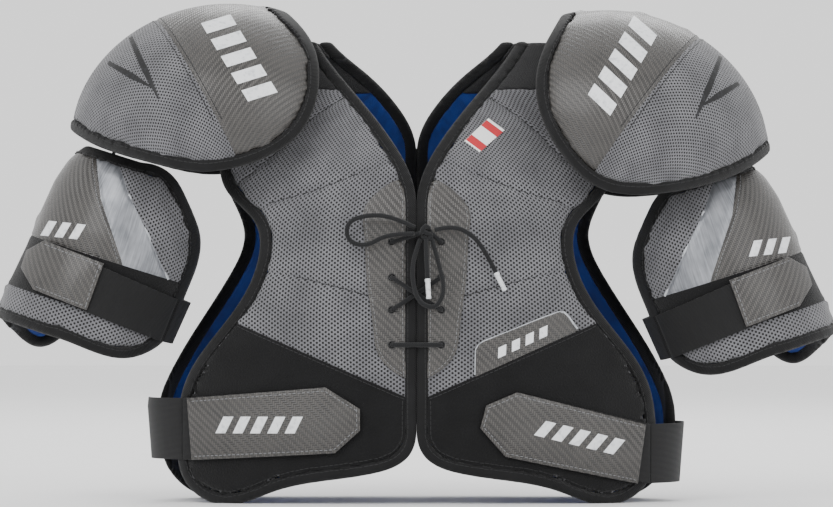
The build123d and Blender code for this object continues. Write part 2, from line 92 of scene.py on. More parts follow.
def hole_distance(tree, place, pitch):
    """Millimetres to the nearest hole of a staggered pattern that is pitch metres across."""
    row = pitch * 0.72
    nearest = []
    for shift in (0.0, 0.5):
        inputs = {0: place, 1: (1 / pitch, 1 / row, 1), 2: (shift, shift, 0)}
        steps = add_node(tree, "VectorMath", inputs, operation="MULTIPLY_ADD")
        cell = add_node(tree, "VectorMath", {0: steps}, operation="FRACTION")
        centred = add_node(tree, "VectorMath", {0: cell, 1: (0.5, 0.5, 0)}, operation="SUBTRACT")
        flat = add_node(tree, "VectorMath", {0: centred, 1: (pitch / MM, row / MM, 0)}, operation="MULTIPLY")
        nearest.append(add_node(tree, "VectorMath", {0: flat}, operation="LENGTH"))
    return add_node(tree, "Math", dict(enumerate(nearest)), operation="MINIMUM")


def spacer_mesh(name, yarn, worn, hole):
    """Warp-knitted polyester spacer mesh: matt yarn round rows of open holes 5 mm apart, painted shade in the
    holes, a little sheen.
    """
    material, tree, shader = new_material(name, Roughness=0.82, Sheen_Weight=0.25, Sheen_Roughness=0.5,
                                          Specular_IOR_Level=0.3)
    place = add_node(tree, "UVMap", uv_map="cloth")
    distance = hole_distance(tree, place, 5.0 * MM)
    rim = add_node(tree, "MapRange", {0: distance, 1: 0.72, 2: 1.15}, interpolation_type="SMOOTHSTEP")
    knit = add_node(tree, "TexNoise", {"Vector": place, "Scale": 1400, "Detail": 3})
    patches = add_node(tree, "TexNoise", {"Vector": place, "Scale": 28})
    patchy = add_node(tree, "MapRange", {0: patches, 1: 0.35, 2: 0.7})
    body = add_node(tree, "Mix", {0: patchy, 6: yarn, 7: worn}, data_type="RGBA")
    shaded = add_node(tree, "MapRange", {0: knit, 1: 0.3, 2: 0.75, 4: 0.45})
    body = add_node(tree, "Mix", {0: shaded, 6: body, 7: hole}, data_type="RGBA")
    # Painted shade: the near-black hole colour fills each open hole and stands in for the shade deep inside
    # it.
    add_node(tree, "Mix", {0: rim, 6: hole, 7: body}, shader.inputs["Base Color"], data_type="RGBA")
    lift = add_node(tree, "Math", {0: knit, 1: 0.35, 2: rim}, operation="MULTIPLY_ADD")
    add_node(tree, "Bump", {"Height": lift, "Distance": 0.7 * MM}, shader.inputs["Normal"])
    return material


# The near-black third colour is the painted shade inside the mesh holes.
grey_mesh = spacer_mesh("grey_spacer_mesh", "#77777b", "#626266", "#070708")

# Quilting seams on the wearer's left, as (across, height) seen from the front. The right half mirrors them.
CHEST_SEAMS = [
    [(0.060, 0.342), (0.084, 0.326), (0.102, 0.311), (0.118, 0.294), (0.150, 0.268)],
    [(0.018, 0.288), (0.050, 0.276), (0.086, 0.262), (0.122, 0.252), (0.140, 0.243)],
    [(0.036, 0.173), (0.064, 0.181), (0.100, 0.190), (0.136, 0.196)],
]
LOOP_EDGE = [(0.0, 0.086), (0.150, 0.151), (0.200, 0.1727)]
FACING_EDGE = 0.047


def loose_copy(node, name):
    """A new object with a merged copy of a CAD node's mesh."""
    bm = bmesh.new()
    bm.from_mesh(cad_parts[node].data)
    bmesh.ops.remove_doubles(bm, verts=bm.verts, dist=2e-6)
    return new_piece(name, bm)


def new_piece(name, bm):
    """A new smooth-shaded object with this mesh."""
    mesh = bpy.data.meshes.new(name)
    for face in bm.faces:
        face.smooth = True
    bm.to_mesh(mesh)
    bm.free()
    piece = bpy.data.objects.new(name, mesh)
    scene.collection.objects.link(piece)
    return piece


def settle(piece):
    """Applies every modifier on a piece."""
    evaluated = piece.evaluated_get(bpy.context.evaluated_depsgraph_get())
    mesh = bpy.data.meshes.new_from_object(evaluated)
    piece.modifiers.clear()
    piece.data = mesh
    for polygon in mesh.polygons:
        polygon.use_smooth = True


def even_grid(piece, voxel, rounds, widen=0.0):
    """Rebuilds a piece on an even grid, its cut sides first moved out by widen, and softens its corners."""
    bm = bmesh.new()
    bm.from_mesh(piece.data)
    if widen:
        moves = {}
        for face in bm.faces:
            if abs(face.normal.y) < 1e-3:
                for vertex in face.verts:
                    moves[vertex] = moves.get(vertex, Vector()) + face.normal
        for vertex, direction in moves.items():
            vertex.co += direction.normalized() * widen
    bm.to_mesh(piece.data)
    bm.free()
    grid = piece.modifiers.new("even_grid", "REMESH")
    grid.mode = "VOXEL"
    grid.voxel_size = voxel
    if rounds:
        soft = piece.modifiers.new("soft_corners", "SMOOTH")
        soft.factor = 0.5
        soft.iterations = rounds
    settle(piece)
    return piece


def seam_distance(points, seam):
    """How far each (across, height) point is from a seam, in metres."""
    nearest = np.full(len(points), np.inf)
    for start, end in zip(seam, seam[1:]):
        start, end = np.array(start), np.array(end)
        run = end - start
        share = np.clip((points - start) @ run / (run @ run), 0, 1)
        nearest = np.minimum(nearest, np.linalg.norm(points - start - share[:, None] * run, axis=1))
    return nearest


def coordinates(piece):
    """The piece's vertices as an array."""
    values = np.empty(len(piece.data.vertices) * 3)
    piece.data.vertices.foreach_get("co", values)
    return values.reshape(-1, 3)


def surface_normals(piece):
    """The piece's vertex normals as an array."""
    values = np.empty(len(piece.data.vertices) * 3)
    piece.data.vertices.foreach_get("normal", values)
    return values.reshape(-1, 3)


def move_to(piece, points):
    """Sets the piece's vertices."""
    piece.data.vertices.foreach_set("co", np.asarray(points, float).ravel())
    piece.data.update()


def inflate(piece, held, pressure, most):
    """Swells a pad with a cloth simulation. held is 1 where it is sewn down, and no point moves over most."""
    before = coordinates(piece)
    group = piece.vertex_groups.new(name="sewn")
    for weight in (0.5, 1.0):
        chosen = [int(i) for i in np.flatnonzero(held >= weight)]
        group.add(chosen, weight, "REPLACE")
    cloth = piece.modifiers.new("cloth", "CLOTH")
    settings = cloth.settings
    settings.quality = 4
    settings.mass = 0.3
    settings.tension_stiffness = 12
    settings.compression_stiffness = 12
    settings.bending_stiffness = 0.6
    settings.use_pressure = True
    settings.uniform_pressure_force = pressure
    settings.effector_weights.gravity = 0
    settings.vertex_group_mass = "sewn"
    cloth.point_cache.frame_start = 1
    cloth.point_cache.frame_end = 20
    for step in range(1, 21):
        scene.frame_set(step)
    settle(piece)
    scene.frame_set(1)
    piece.vertex_groups.clear()
    move = coordinates(piece) - before
    length = np.linalg.norm(move, axis=1, keepdims=True)
    move_to(piece, before + move * np.minimum(1, most / np.maximum(length, 1e-9)))


def subdivide(piece, levels=1):
    """Subdivides a piece smoothly."""
    finer = piece.modifiers.new("finer", "SUBSURF")
    finer.levels = levels
    finer.render_levels = levels
    settle(piece)


def groove(piece, distance, width, depth):
    """Presses a rounded channel into a piece, along wherever distance is nought."""
    share = np.clip(1 - distance / width, 0, 1) ** 2
    move_to(piece, coordinates(piece) - surface_normals(piece) * (share * depth)[:, None])


def lay_cloth(piece, place):
    """Gives a piece its cloth coordinates: place turns an array of points into metres along the cloth."""
    layer = piece.data.uv_layers.get("cloth") or piece.data.uv_layers.new(name="cloth")
    corners = np.empty(len(piece.data.loops), int)
    piece.data.loops.foreach_get("vertex_index", corners)
    layer.data.foreach_set("uv", place(coordinates(piece))[corners].ravel())


TORSO_HALF_WIDTH = 0.215
TORSO_HALF_DEPTH = 0.100
SHOULDER_SLOPE = (0.285, 1.25)


def torso_cloth(points):
    """Metres round the body and up it. Above the chest the panels lean back, so the cloth is longer."""
    angles = np.linspace(-math.pi, math.pi, 721)
    steps = np.hypot(TORSO_HALF_WIDTH * np.cos(angles), TORSO_HALF_DEPTH * np.sin(angles))
    lengths = np.cumsum(steps) * (angles[1] - angles[0])
    front = np.where(points[:, 1] < 0, 1.0, -1.0)
    around = np.arctan2(points[:, 0] / TORSO_HALF_WIDTH, -points[:, 1] * front / TORSO_HALF_DEPTH)
    start, stretch = SHOULDER_SLOPE
    up = points[:, 2] + np.maximum(points[:, 2] - start, 0) * (stretch - 1)
    return np.column_stack([np.interp(around, angles, lengths), up])


def mirrored(piece, name, shift=(0, 0, 0)):
    """A copy of a piece for the other side of the body, then moved by shift."""
    bm = bmesh.new()
    bm.from_mesh(piece.data)
    bmesh.ops.scale(bm, vec=(-1, 1, 1), verts=bm.verts)
    bmesh.ops.reverse_faces(bm, faces=bm.faces)
    bmesh.ops.translate(bm, vec=shift, verts=bm.verts)
    twin = new_piece(name, bm)
    for material in piece.data.materials:
        twin.data.materials.append(material)
    return twin


def outward_share(piece, centre):
    """How squarely each vertex faces away from the body's upright middle line, from -1 to 1."""
    points, normals = coordinates(piece), surface_normals(piece)
    away = (points - centre) * (1, 1, 0)
    away /= np.maximum(np.linalg.norm(away, axis=1, keepdims=True), 1e-9)
    return np.sum(away * normals, axis=1)


pads = {}
chest = even_grid(loose_copy("chest_pad_left", "chest_pad_cover_left"), 4 * MM, 2, widen=3 * MM)
front_view = coordinates(chest)[:, [0, 2]]
seam_gap = np.min([seam_distance(front_view, seam) for seam in CHEST_SEAMS + [LOOP_EDGE]], axis=0)
under_loop = front_view[:, 1] < np.interp(front_view[:, 0], *np.transpose(LOOP_EDGE)) + 2 * MM
held = (outward_share(chest, (0, 0, 0)) < 0.55) | (seam_gap < 3.4 * MM) | under_loop
held |= (front_view[:, 0] < FACING_EDGE) & (front_view[:, 1] < 0.275)
inflate(chest, held.astype(float), 5.0, 5 * MM)
subdivide(chest)
front_view = coordinates(chest)[:, [0, 2]]
seam_gap = np.min([seam_distance(front_view, seam) for seam in CHEST_SEAMS], axis=0)
seam_gap[outward_share(chest, (0, 0, 0)) < 0.4] = 1.0
groove(chest, seam_gap, 3.2 * MM, 1.6 * MM)
pads["chest", "left"] = chest
pads["chest", "right"] = mirrored(chest, "chest_pad_cover_right")
for side in SIDES:
    piece = pads["chest", side]
    piece.data.materials.append(grey_mesh)
    lay_cloth(piece, torso_cloth)
    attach(piece, "torso")
    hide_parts(f"chest_pad_{side}")

# ---- Chest seams ----
# The quilting is a row of stitches in heavy black bonded thread, pulled down into the mesh.


def surface_of(piece):
    """A lookup of a piece's surface."""
    bm = bmesh.new()
    bm.from_mesh(piece.data)
    tree = BVHTree.FromBMesh(bm)
    bm.free()
    return tree


def in_front(surface, across, height, back=False):
    """Where a straight look from the front, or from the back, meets a surface, and its normal there."""
    start = Vector((across, 1.0 if back else -1.0, height))
    point, normal, _, _ = surface.ray_cast(start, Vector((0, -1 if back else 1, 0)))
    return point, normal


def even_steps(path, step, closed=False):
    """Places a step apart along a path of points, each with the path's direction there."""
    ends = list(zip(path, path[1:] + (path[:1] if closed else [])))[:len(path) if closed else len(path) - 1]
    total = sum((end - start).length for start, end in ends)
    count = max(int(total / step), 1)
    places, reach, walked = [], 0, 0.0
    for start, end in ends:
        run = (end - start).length
        while reach < count and walked + run >= (reach + 0.5) * total / count:
            share = ((reach + 0.5) * total / count - walked) / run
            places.append((start.lerp(end, share), (end - start).normalized()))
            reach += 1
        walked += run
    return places


def stitches(name, places, surface, thread, body, length=3.7 * MM, thickness=0.9 * MM, sink=0.15 * MM):
    """A row of sewn stitches: rounded lengths of thread half sunk in a surface."""
    bm = bmesh.new()
    for point, direction in places:
        found, normal, _, _ = surface.find_nearest(point)
        if found is None or (found - point).length > 12 * MM:
            continue
        side = direction.cross(normal).normalized()
        along = normal.cross(side).normalized()
        turn = Matrix((side, normal, along)).transposed().to_4x4()
        made = bmesh.ops.create_cone(bm, cap_ends=True, segments=6, radius1=thickness / 2,
                                     radius2=thickness / 2, depth=length * 0.72)["verts"]
        caps = {face for vertex in made for face in vertex.link_faces if len(face.verts) == 6}
        for face in list(caps):
            tip = bmesh.ops.inset_region(bm, faces=[face], thickness=thickness / 5)
            ends = set(face.verts)
            out = 1 if face.calc_center_median().z > 0 else -1
            bmesh.ops.translate(bm, vec=(0, 0, out * length * 0.14), verts=list(ends))
            made = list(set(made) | ends | {v for f in tip["faces"] for v in f.verts})
        place = Matrix.Translation(found - normal * sink) @ turn
        bmesh.ops.transform(bm, matrix=place, verts=list(set(made)))
    row = new_piece(name, bm)
    row.data.materials.append(thread)
    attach(row, body)
    return row


def bonded_thread(name, colour, dark):
    """Bonded nylon sewing thread: smooth, faintly waxy, with a twist every millimetre."""
    material, tree, shader = new_material(name, Roughness=0.45, Specular_IOR_Level=0.4)
    place = add_node(tree, "TexCoord").outputs["Object"]
    twist = add_node(tree, "TexNoise", {"Vector": place, "Scale": 900})
    add_node(tree, "Mix", {0: twist, 6: dark, 7: colour}, shader.inputs["Base Color"], data_type="RGBA")
    return material


black_thread = bonded_thread("black_bonded_thread", "#1a1a1c", "#0a0a0b")
grey_thread = bonded_thread("grey_bonded_thread", "#7d7e80", "#555659")

SEAM_PITCH = 4.2 * MM
surfaces = {key: surface_of(piece) for key, piece in pads.items()}
for side, sign in SIDES.items():
    surface = surfaces["chest", side]
    places = []
    for seam in CHEST_SEAMS:
        path = [in_front(surface, sign * across, height)[0] for across, height in seam]
        places += even_steps([point for point in path if point], SEAM_PITCH)
    stitches(f"chest_quilting_{side}", places, surface, black_thread, "torso")

# ---- Loop panel and lace facing ----
# Brushed loop fabric covers the lower chest so that the straps grip anywhere on it. The facing that
# carries the lace is carbon-look vinyl with a folded edge. Both are flat-cut and top-stitched to the pad.


def loop_fabric(name, pile, shade):
    """Brushed polyester loop: a deep matt pile that swallows light, combed in soft patches."""
    material, tree, shader = new_material(name, Roughness=0.97, Sheen_Weight=0.12, Sheen_Roughness=0.6,
                                          Specular_IOR_Level=0.15)
    place = add_node(tree, "UVMap", uv_map="cloth")
    fuzz = add_node(tree, "TexNoise", {"Vector": place, "Scale": 700, "Detail": 4})
    combed = add_node(tree, "TexNoise", {"Vector": place, "Scale": 45, "Detail": 3})
    share = add_node(tree, "Math", {0: fuzz, 1: combed}, operation="MULTIPLY")
    share = add_node(tree, "MapRange", {0: share, 1: 0.12, 2: 0.42})
    add_node(tree, "Mix", {0: share, 6: shade, 7: pile}, shader.inputs["Base Color"], data_type="RGBA")
    add_node(tree, "Bump", {"Height": fuzz, "Distance": 0.9 * MM}, shader.inputs["Normal"])
    return material


def carbon_vinyl(name, light, dark, tow=1.7 * MM):
    """Carbon-look PVC: a two-by-two twill of flat tows pressed into a satin film, with a painted diagonal
    glint.
    """
    material, tree, shader = new_material(name, Coat_Weight=0.25, Coat_Roughness=0.25,
                                          Specular_IOR_Level=0.55)
    cloth = add_node(tree, "UVMap", uv_map="cloth")
    place = add_node(tree, "VectorMath", {0: cloth, 1: (1 / tow, 1 / tow, 1)}, operation="MULTIPLY")
    across, along, _ = add_node(tree, "SeparateXYZ", {0: place}).outputs
    cells = [add_node(tree, "Math", {0: part}, operation="FLOOR") for part in (across, along)]
    crowns = []
    for part in (across, along):
        inner = add_node(tree, "Math", {0: part}, operation="FRACT")
        centred = add_node(tree, "Math", {0: inner, 1: 2.0, 2: -1.0}, operation="MULTIPLY_ADD")
        square = add_node(tree, "Math", {0: centred, 1: 2.0}, operation="POWER")
        crowns.append(add_node(tree, "Math", {0: 1.0, 1: square}, operation="SUBTRACT"))
    diagonal = add_node(tree, "Math", dict(enumerate(cells)), operation="ADD")
    step = add_node(tree, "Math", {0: diagonal, 1: 4.0}, operation="FLOORED_MODULO")
    warp = add_node(tree, "Math", {0: step, 1: 2.0}, operation="LESS_THAN")
    height = add_node(tree, "Mix", {0: warp, 2: crowns[1], 3: crowns[0]})
    uneven = add_node(tree, "TexNoise", {"Vector": cloth, "Scale": 60, "Detail": 3})
    # Painted glint: the warp tows are coloured lighter, and every tow is lighter on its crown than at its
    # edges.
    bright = add_node(tree, "Math", {0: warp, 1: 0.7, 2: uneven}, operation="MULTIPLY_ADD")
    share = add_node(tree, "Math", {0: bright, 1: height}, operation="MULTIPLY")
    add_node(tree, "Mix", {0: share, 6: dark, 7: light}, shader.inputs["Base Color"], data_type="RGBA")
    add_node(tree, "MapRange", {0: uneven, 1: 0.3, 2: 0.7, 3: 0.3, 4: 0.44}, shader.inputs["Roughness"])
    add_node(tree, "Bump", {"Height": height, "Distance": 0.3 * MM}, shader.inputs["Normal"])
    return material


black_loop = loop_fabric("black_brushed_loop", "#0f0f10", "#050506")
# The lighter colour is the painted glint on the carbon twill, and the darker one the base between the glints.
carbon = carbon_vinyl("carbon_look_vinyl", "#45423f", "#080808")


def torso_outward(point):
    """The direction straight out of the torso's surface."""
    return Vector((point.x / TORSO_HALF_WIDTH ** 2, point.y / TORSO_HALF_DEPTH ** 2, 0)).normalized()


def outer_edges(node, outward):
    """The closed edges of a layer's outer face, longest first: lists of (point, direction off the edge)."""
    bm = bmesh.new()
    bm.from_mesh(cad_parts[node].data)
    bmesh.ops.remove_doubles(bm, verts=bm.verts, dist=2e-6)
    facing = {face: face.normal.dot(outward(face.calc_center_median())) for face in bm.faces}
    walls = {face for face in bm.faces if abs(face.normal.y) < 0.05 and facing[face] < 0.985}
    joined = {}
    for edge in bm.edges:
        sides = [face for face in edge.link_faces if face in walls]
        tops = [face for face in edge.link_faces if face not in walls and facing[face] > 0.3]
        if len(sides) == 1 and len(tops) == 1:
            for here, there in (edge.verts, reversed(edge.verts)):
                joined.setdefault(here, []).append((there, sides[0].normal.copy()))
    loops = []
    while joined:
        here = next(iter(joined))
        loop = []
        while here in joined:
            links = joined.pop(here)
            off = sum((normal for _, normal in links), Vector()).normalized()
            loop.append((here.co.copy(), off))
            here = next((there for there, _ in links if there in joined), here)
        loops.append(loop)
    bm.free()
    return sorted((loop for loop in loops if len(loop) > 3), key=loop_length, reverse=True)


def loop_length(loop):
    """The length round a closed loop of edge points."""
    return sum((loop[place][0] - loop[place - 1][0]).length for place in range(len(loop)))


def flat_piece(name, outlines, surface, lift, thickness, cell=3.5 * MM, back=False):
    """A flat-cut piece laid on a surface. Outlines are (across, height) loops; later ones are holes."""
    bm = bmesh.new()
    for outline in outlines:
        corners = [bm.verts.new((across, 0, height)) for across, height in outline]
        for start, end in zip(corners, corners[1:] + corners[:1]):
            bm.edges.new((start, end))
    bmesh.ops.triangle_fill(bm, use_beauty=True, use_dissolve=False, edges=bm.edges)
    for axis, normal in ((0, (1, 0, 0)), (2, (0, 0, 1))):
        reach = [vertex.co[axis] for vertex in bm.verts]
        for index in range(1, int((max(reach) - min(reach)) / cell) + 1):
            plane = [0, 0, 0]
            plane[axis] = min(reach) + index * cell
            everything = bm.verts[:] + bm.edges[:] + bm.faces[:]
            bmesh.ops.bisect_plane(bm, geom=everything, dist=1e-6, plane_co=plane, plane_no=normal)
    out = 1 if back else -1
    missed = []
    for vertex in bm.verts:
        point, _ = in_front(surface, vertex.co.x, vertex.co.z, back)
        if point is None:
            missed.append(vertex)
        else:
            vertex.co.y = point.y + out * lift
    for vertex in missed:
        near = [edge.other_vert(vertex).co.y for edge in vertex.link_edges
                if edge.other_vert(vertex) not in missed]
        vertex.co.y = sum(near) / len(near) if near else 0
    if missed and any(vertex.co.y == 0 for vertex in missed):
        bmesh.ops.delete(bm, geom=[vertex for vertex in missed if vertex.co.y == 0], context="VERTS")
    if sum(face.normal.y for face in bm.faces) * out < 0:
        bmesh.ops.reverse_faces(bm, faces=bm.faces)
    bm.normal_update()
    piece = new_piece(name, bm)
    body = piece.modifiers.new("thickness", "SOLIDIFY")
    body.thickness = thickness
    body.offset = 1
    edge = piece.modifiers.new("soft_edge", "BEVEL")
    edge.width = thickness * 0.35
    edge.segments = 2
    edge.limit_method = "ANGLE"
    edge.angle_limit = math.radians(50)
    settle(piece)
    return piece


def seen_outline(loop):
    """A loop of edge points as (across, height) pairs."""
    return [(point.x, point.z) for point, _ in loop]


TAB_SEAM_INSET = 3.0 * MM
STITCH_PITCH = 4.0 * MM


def sewn_edge(loop, inset, step=SEAM_PITCH, closed=True):
    """Stitch places along an edge, moved inwards by inset, or outwards where it is negative."""
    return even_steps([point - off * inset for point, off in loop], step, closed)


def both_sides(piece, name):
    """A left-hand piece and its mirrored twin, by side."""
    return {"left": piece, "right": mirrored(piece, f"{name}_right")}


panel_edge = outer_edges("loop_panel_left", torso_outward)[0]
facing_edge = outer_edges("lace_facing_left", torso_outward)
panels = both_sides(flat_piece("loop_panel_cover_left", [seen_outline(panel_edge)], surfaces["chest", "left"],
                               0.2 * MM, 1.0 * MM), "loop_panel_cover")
facings = both_sides(flat_piece("lace_facing_cover_left", [seen_outline(loop) for loop in facing_edge],
                                surfaces["chest", "left"], 0.2 * MM, 1.2 * MM, cell=2.5 * MM),
                     "lace_facing_cover")
for side in SIDES:
    for piece, cloth, node, slot in ((panels[side], black_loop, "loop_panel", "loop_fabric"),
                                     (facings[side], carbon, "lace_facing", "carbon_vinyl")):
        lay_cloth(piece, torso_cloth)
        piece.data.materials.append(cloth)
        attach(piece, "torso")
        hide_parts(f"{node}_{side}")
facing_sewing = stitches("lace_facing_stitching_left", sewn_edge(facing_edge[0], 2.2 * MM, 3.4 * MM),
                         surface_of(facings["left"]), grey_thread, "torso", 2.2 * MM, 0.6 * MM)
panel_sewing = stitches("loop_panel_stitching_left", sewn_edge(panel_edge, 2.5 * MM),
                        surface_of(panels["left"]), black_thread, "torso")
for row, name in ((facing_sewing, "lace_facing_stitching_right"),
                  (panel_sewing, "loop_panel_stitching_right")):
    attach(mirrored(row, name), "torso")

# ---- Back pads ----
# The back halves are built as the chest is. Their quilting runs in from the neck and across the shoulder
# blades.

BACK_SEAMS = [
    [(0.030, 0.318), (0.070, 0.300), (0.110, 0.284), (0.152, 0.275)],
    [(0.014, 0.232), (0.060, 0.222), (0.104, 0.206), (0.146, 0.196)],
    [(0.014, 0.120), (0.070, 0.112), (0.130, 0.100), (0.206, 0.088)],
]
back_pad = even_grid(loose_copy("back_pad_left", "back_pad_cover_left"), 4 * MM, 2, widen=3 * MM)
rear_view = coordinates(back_pad)[:, [0, 2]]
seam_gap = np.min([seam_distance(rear_view, seam) for seam in BACK_SEAMS], axis=0)
held = (outward_share(back_pad, (0, 0, 0)) < 0.55) | (seam_gap < 3.4 * MM)
inflate(back_pad, held.astype(float), 5.0, 5 * MM)
subdivide(back_pad)
rear_view = coordinates(back_pad)[:, [0, 2]]
seam_gap = np.min([seam_distance(rear_view, seam) for seam in BACK_SEAMS], axis=0)
seam_gap[outward_share(back_pad, (0, 0, 0)) < 0.4] = 1.0
groove(back_pad, seam_gap, 3.2 * MM, 1.6 * MM)
pads["back", "left"] = back_pad
pads["back", "right"] = mirrored(back_pad, "back_pad_cover_right")
for side, sign in SIDES.items():
    piece = pads["back", side]
    piece.data.materials.append(grey_mesh)
    lay_cloth(piece, torso_cloth)
    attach(piece, "torso")
    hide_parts(f"back_pad_{side}")
    surfaces["back", side] = surface = surface_of(piece)
    places = []
    for seam in BACK_SEAMS:
        path = [in_front(surface, sign * across, height, back=True)[0] for across, height in seam]
        places += even_steps([point for point in path if point], SEAM_PITCH)
    stitches(f"back_quilting_{side}", places, surface, black_thread, "torso")

# ---- Panel linings and edge bindings ----
# The lining is royal blue tricot over thin foam. Foam, plate and lining are bound together round the edge
# with black grosgrain tape, folded over and sewn through with one row of stitches.


def lining_tricot(name, colour, shade, glint):
    """Brushed nylon tricot: fine even ribs with a soft silky bloom."""
    material, tree, shader = new_material(name, Roughness=0.6, Sheen_Weight=0.5, Sheen_Roughness=0.35,
                                          Specular_IOR_Level=0.4, Sheen_Tint=linear(glint))
    place = add_node(tree, "UVMap", uv_map="cloth")
    ribs = add_node(tree, "TexWave", {"Vector": place, "Scale": 1 / (2 * 1.6 * MM), "Distortion": 0.4})
    cloudy = add_node(tree, "TexNoise", {"Vector": place, "Scale": 40, "Detail": 3})
    share = add_node(tree, "MapRange", {0: cloudy, 1: 0.3, 2: 0.7})
    add_node(tree, "Mix", {0: share, 6: shade, 7: colour}, shader.inputs["Base Color"], data_type="RGBA")
    add_node(tree, "Bump", {"Height": ribs, "Distance": 0.2 * MM}, shader.inputs["Normal"])
    return material


def binding_grosgrain(name, colour, worn):
    """Woven polyester binding: close ribs across the tape, shiny on their crowns and greyer where rubbed."""
    material, tree, shader = new_material(name, Roughness=0.75, Sheen_Weight=0.1, Specular_IOR_Level=0.25)
    place = add_node(tree, "UVMap", uv_map="cloth")
    weave = add_node(tree, "TexWave", {"Vector": place, "Scale": 1 / (2 * 1.5 * MM), "Distortion": 0.3},
                     bands_direction="DIAGONAL")
    rubbed = add_node(tree, "TexNoise", {"Vector": place, "Scale": 35, "Detail": 4})
    share = add_node(tree, "MapRange", {0: rubbed, 1: 0.45, 2: 0.8})
    add_node(tree, "Mix", {0: share, 6: colour, 7: worn}, shader.inputs["Base Color"], data_type="RGBA")
    add_node(tree, "Bump", {"Height": weave, "Distance": 0.25 * MM}, shader.inputs["Normal"])
    return material


blue_lining = lining_tricot("royal_blue_tricot", "#24479c", "#182f6e", "#6f8fe0")
black_binding = binding_grosgrain("black_grosgrain", "#060607", "#111113")


def swell(piece, amount):
    """Moves a piece's surface outwards."""
    move_to(piece, coordinates(piece) + surface_normals(piece) * amount)


def edge_binding(node, name, body, place):
    """A bound edge, from its CAD solid: rounded over, and a little proud of the cloth it holds."""
    piece = even_grid(loose_copy(node, name), 2.2 * MM, 3)
    swell(piece, 1.0 * MM)
    move_to(piece, np.maximum(coordinates(piece), (-1, -1, 0)))
    lay_cloth(piece, place)
    piece.data.materials.append(black_binding)
    if body:
        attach(piece, body)
        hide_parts(node)
    return piece


for area in ("chest", "back"):
    left = edge_binding(f"{area}_binding_left", f"{area}_edge_left", None, torso_cloth)
    lining = even_grid(loose_copy(f"{area}_liner_left", f"{area}_lining_left"), 1.9 * MM, 2, widen=2 * MM)
    lay_cloth(lining, torso_cloth)
    lining.data.materials.append(blue_lining)
    for side in SIDES:
        edge = left if side == "left" else mirrored(left, f"{area}_edge_right")
        inside = lining if side == "left" else mirrored(lining, f"{area}_lining_right")
        for piece, node, slot in ((edge, "binding", "binding_tape"), (inside, "liner", "liner")):
            lay_cloth(piece, torso_cloth)
            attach(piece, "torso")
            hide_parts(f"{area}_{node}_{side}")
    edge_places = sewn_edge(outer_edges(f"{area}_pad_left", torso_outward)[0], -2.2 * MM)
    row = stitches(f"{area}_edge_stitching_left", edge_places, surface_of(left), black_thread, "torso")
    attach(mirrored(row, f"{area}_edge_stitching_right"), "torso")

# ---- Plates ----
# A low-density polyethylene plate, press-moulded to the body's curve, stiffens each panel, cap and guard.
# It keeps the press's fine satin grain and is scuffed paler where the foam rubs it.


def moulded_polyethylene(name, colour, scuffed):
    """Press-moulded polyethylene: waxy and satin, with a fine grain and paler scuffs."""
    material, tree, shader = new_material(name, IOR=1.51, Specular_IOR_Level=0.45)
    place = add_node(tree, "TexCoord").outputs["Object"]
    grain = add_node(tree, "TexNoise", {"Vector": place, "Scale": 1 / (0.9 * MM), "Detail": 2})
    scuffs = add_node(tree, "TexNoise", {"Vector": place, "Scale": 30, "Detail": 6})
    share = add_node(tree, "MapRange", {0: scuffs, 1: 0.55, 2: 0.8})
    add_node(tree, "Mix", {0: share, 6: colour, 7: scuffed}, shader.inputs["Base Color"], data_type="RGBA")
    add_node(tree, "MapRange", {0: scuffs, 3: 0.38, 4: 0.6}, shader.inputs["Roughness"])
    add_node(tree, "Bump", {"Height": grain, "Distance": 0.08 * MM}, shader.inputs["Normal"])
    return material


black_plate = moulded_polyethylene("black_moulded_polyethylene", "#16171a", "#3a3c40")
for side in SIDES:
    for area in ("chest", "back", "cap", "arm"):
        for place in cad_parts[f"{area}_plate_{side}"].material_slots:
            place.material = black_plate

# ---- Shoulder yokes and spine gusset ----
# A padded saddle of ribbed knit joins the front and back over each shoulder, and a wide strip of ribbed
# elastic joins the two back halves down the spine, so that the shell can spread as the wearer breathes.


def ribbed_cloth(name, colour, painted_valley_shade, pitch, depth, roughness, bands="X"):
    """A ribbed black knit or elastic: matt ribs pitch apart, with painted shade darkening the valleys between
    them.
    """
    material, tree, shader = new_material(name, Roughness=roughness, Sheen_Weight=0.12,
                                          Specular_IOR_Level=0.25)
    place = add_node(tree, "UVMap", uv_map="cloth")
    ribs = add_node(tree, "TexWave", {"Vector": place, "Scale": 1 / (2 * pitch), "Distortion": 0.25,
                                      "Detail": 1}, bands_direction=bands)
    knots = add_node(tree, "TexNoise", {"Vector": place, "Scale": 1 / (0.8 * MM)})
    height = add_node(tree, "Math", {0: knots, 1: 0.4, 2: ribs.outputs[1]}, operation="MULTIPLY_ADD")
    # Painted shade: the valley colour darkens the cloth wherever the ribs and knots are low.
    add_node(tree, "Mix", {0: height, 6: painted_valley_shade, 7: colour}, shader.inputs["Base Color"], data_type="RGBA")
    add_node(tree, "Bump", {"Height": height, "Distance": depth}, shader.inputs["Normal"])
    return material


# The second colour of each is the painted shade in the rib valleys.
black_knit = ribbed_cloth("black_rib_knit", "#1d1d1f", "#070708", 2.4 * MM, 0.6 * MM, 0.9)
black_elastic = ribbed_cloth("black_ribbed_elastic", "#121213", "#050506", 1.6 * MM, 0.4 * MM, 0.7, "Y")

yoke = even_grid(loose_copy("shoulder_yoke_left", "shoulder_yoke_knit_left"), 2.2 * MM, 4)
swell(yoke, 0.6 * MM)
yoke.data.materials.append(black_knit)
for side, piece in both_sides(yoke, "shoulder_yoke_knit").items():
    lay_cloth(piece, torso_cloth)
    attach(piece, "torso")
    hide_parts(f"shoulder_yoke_{side}")


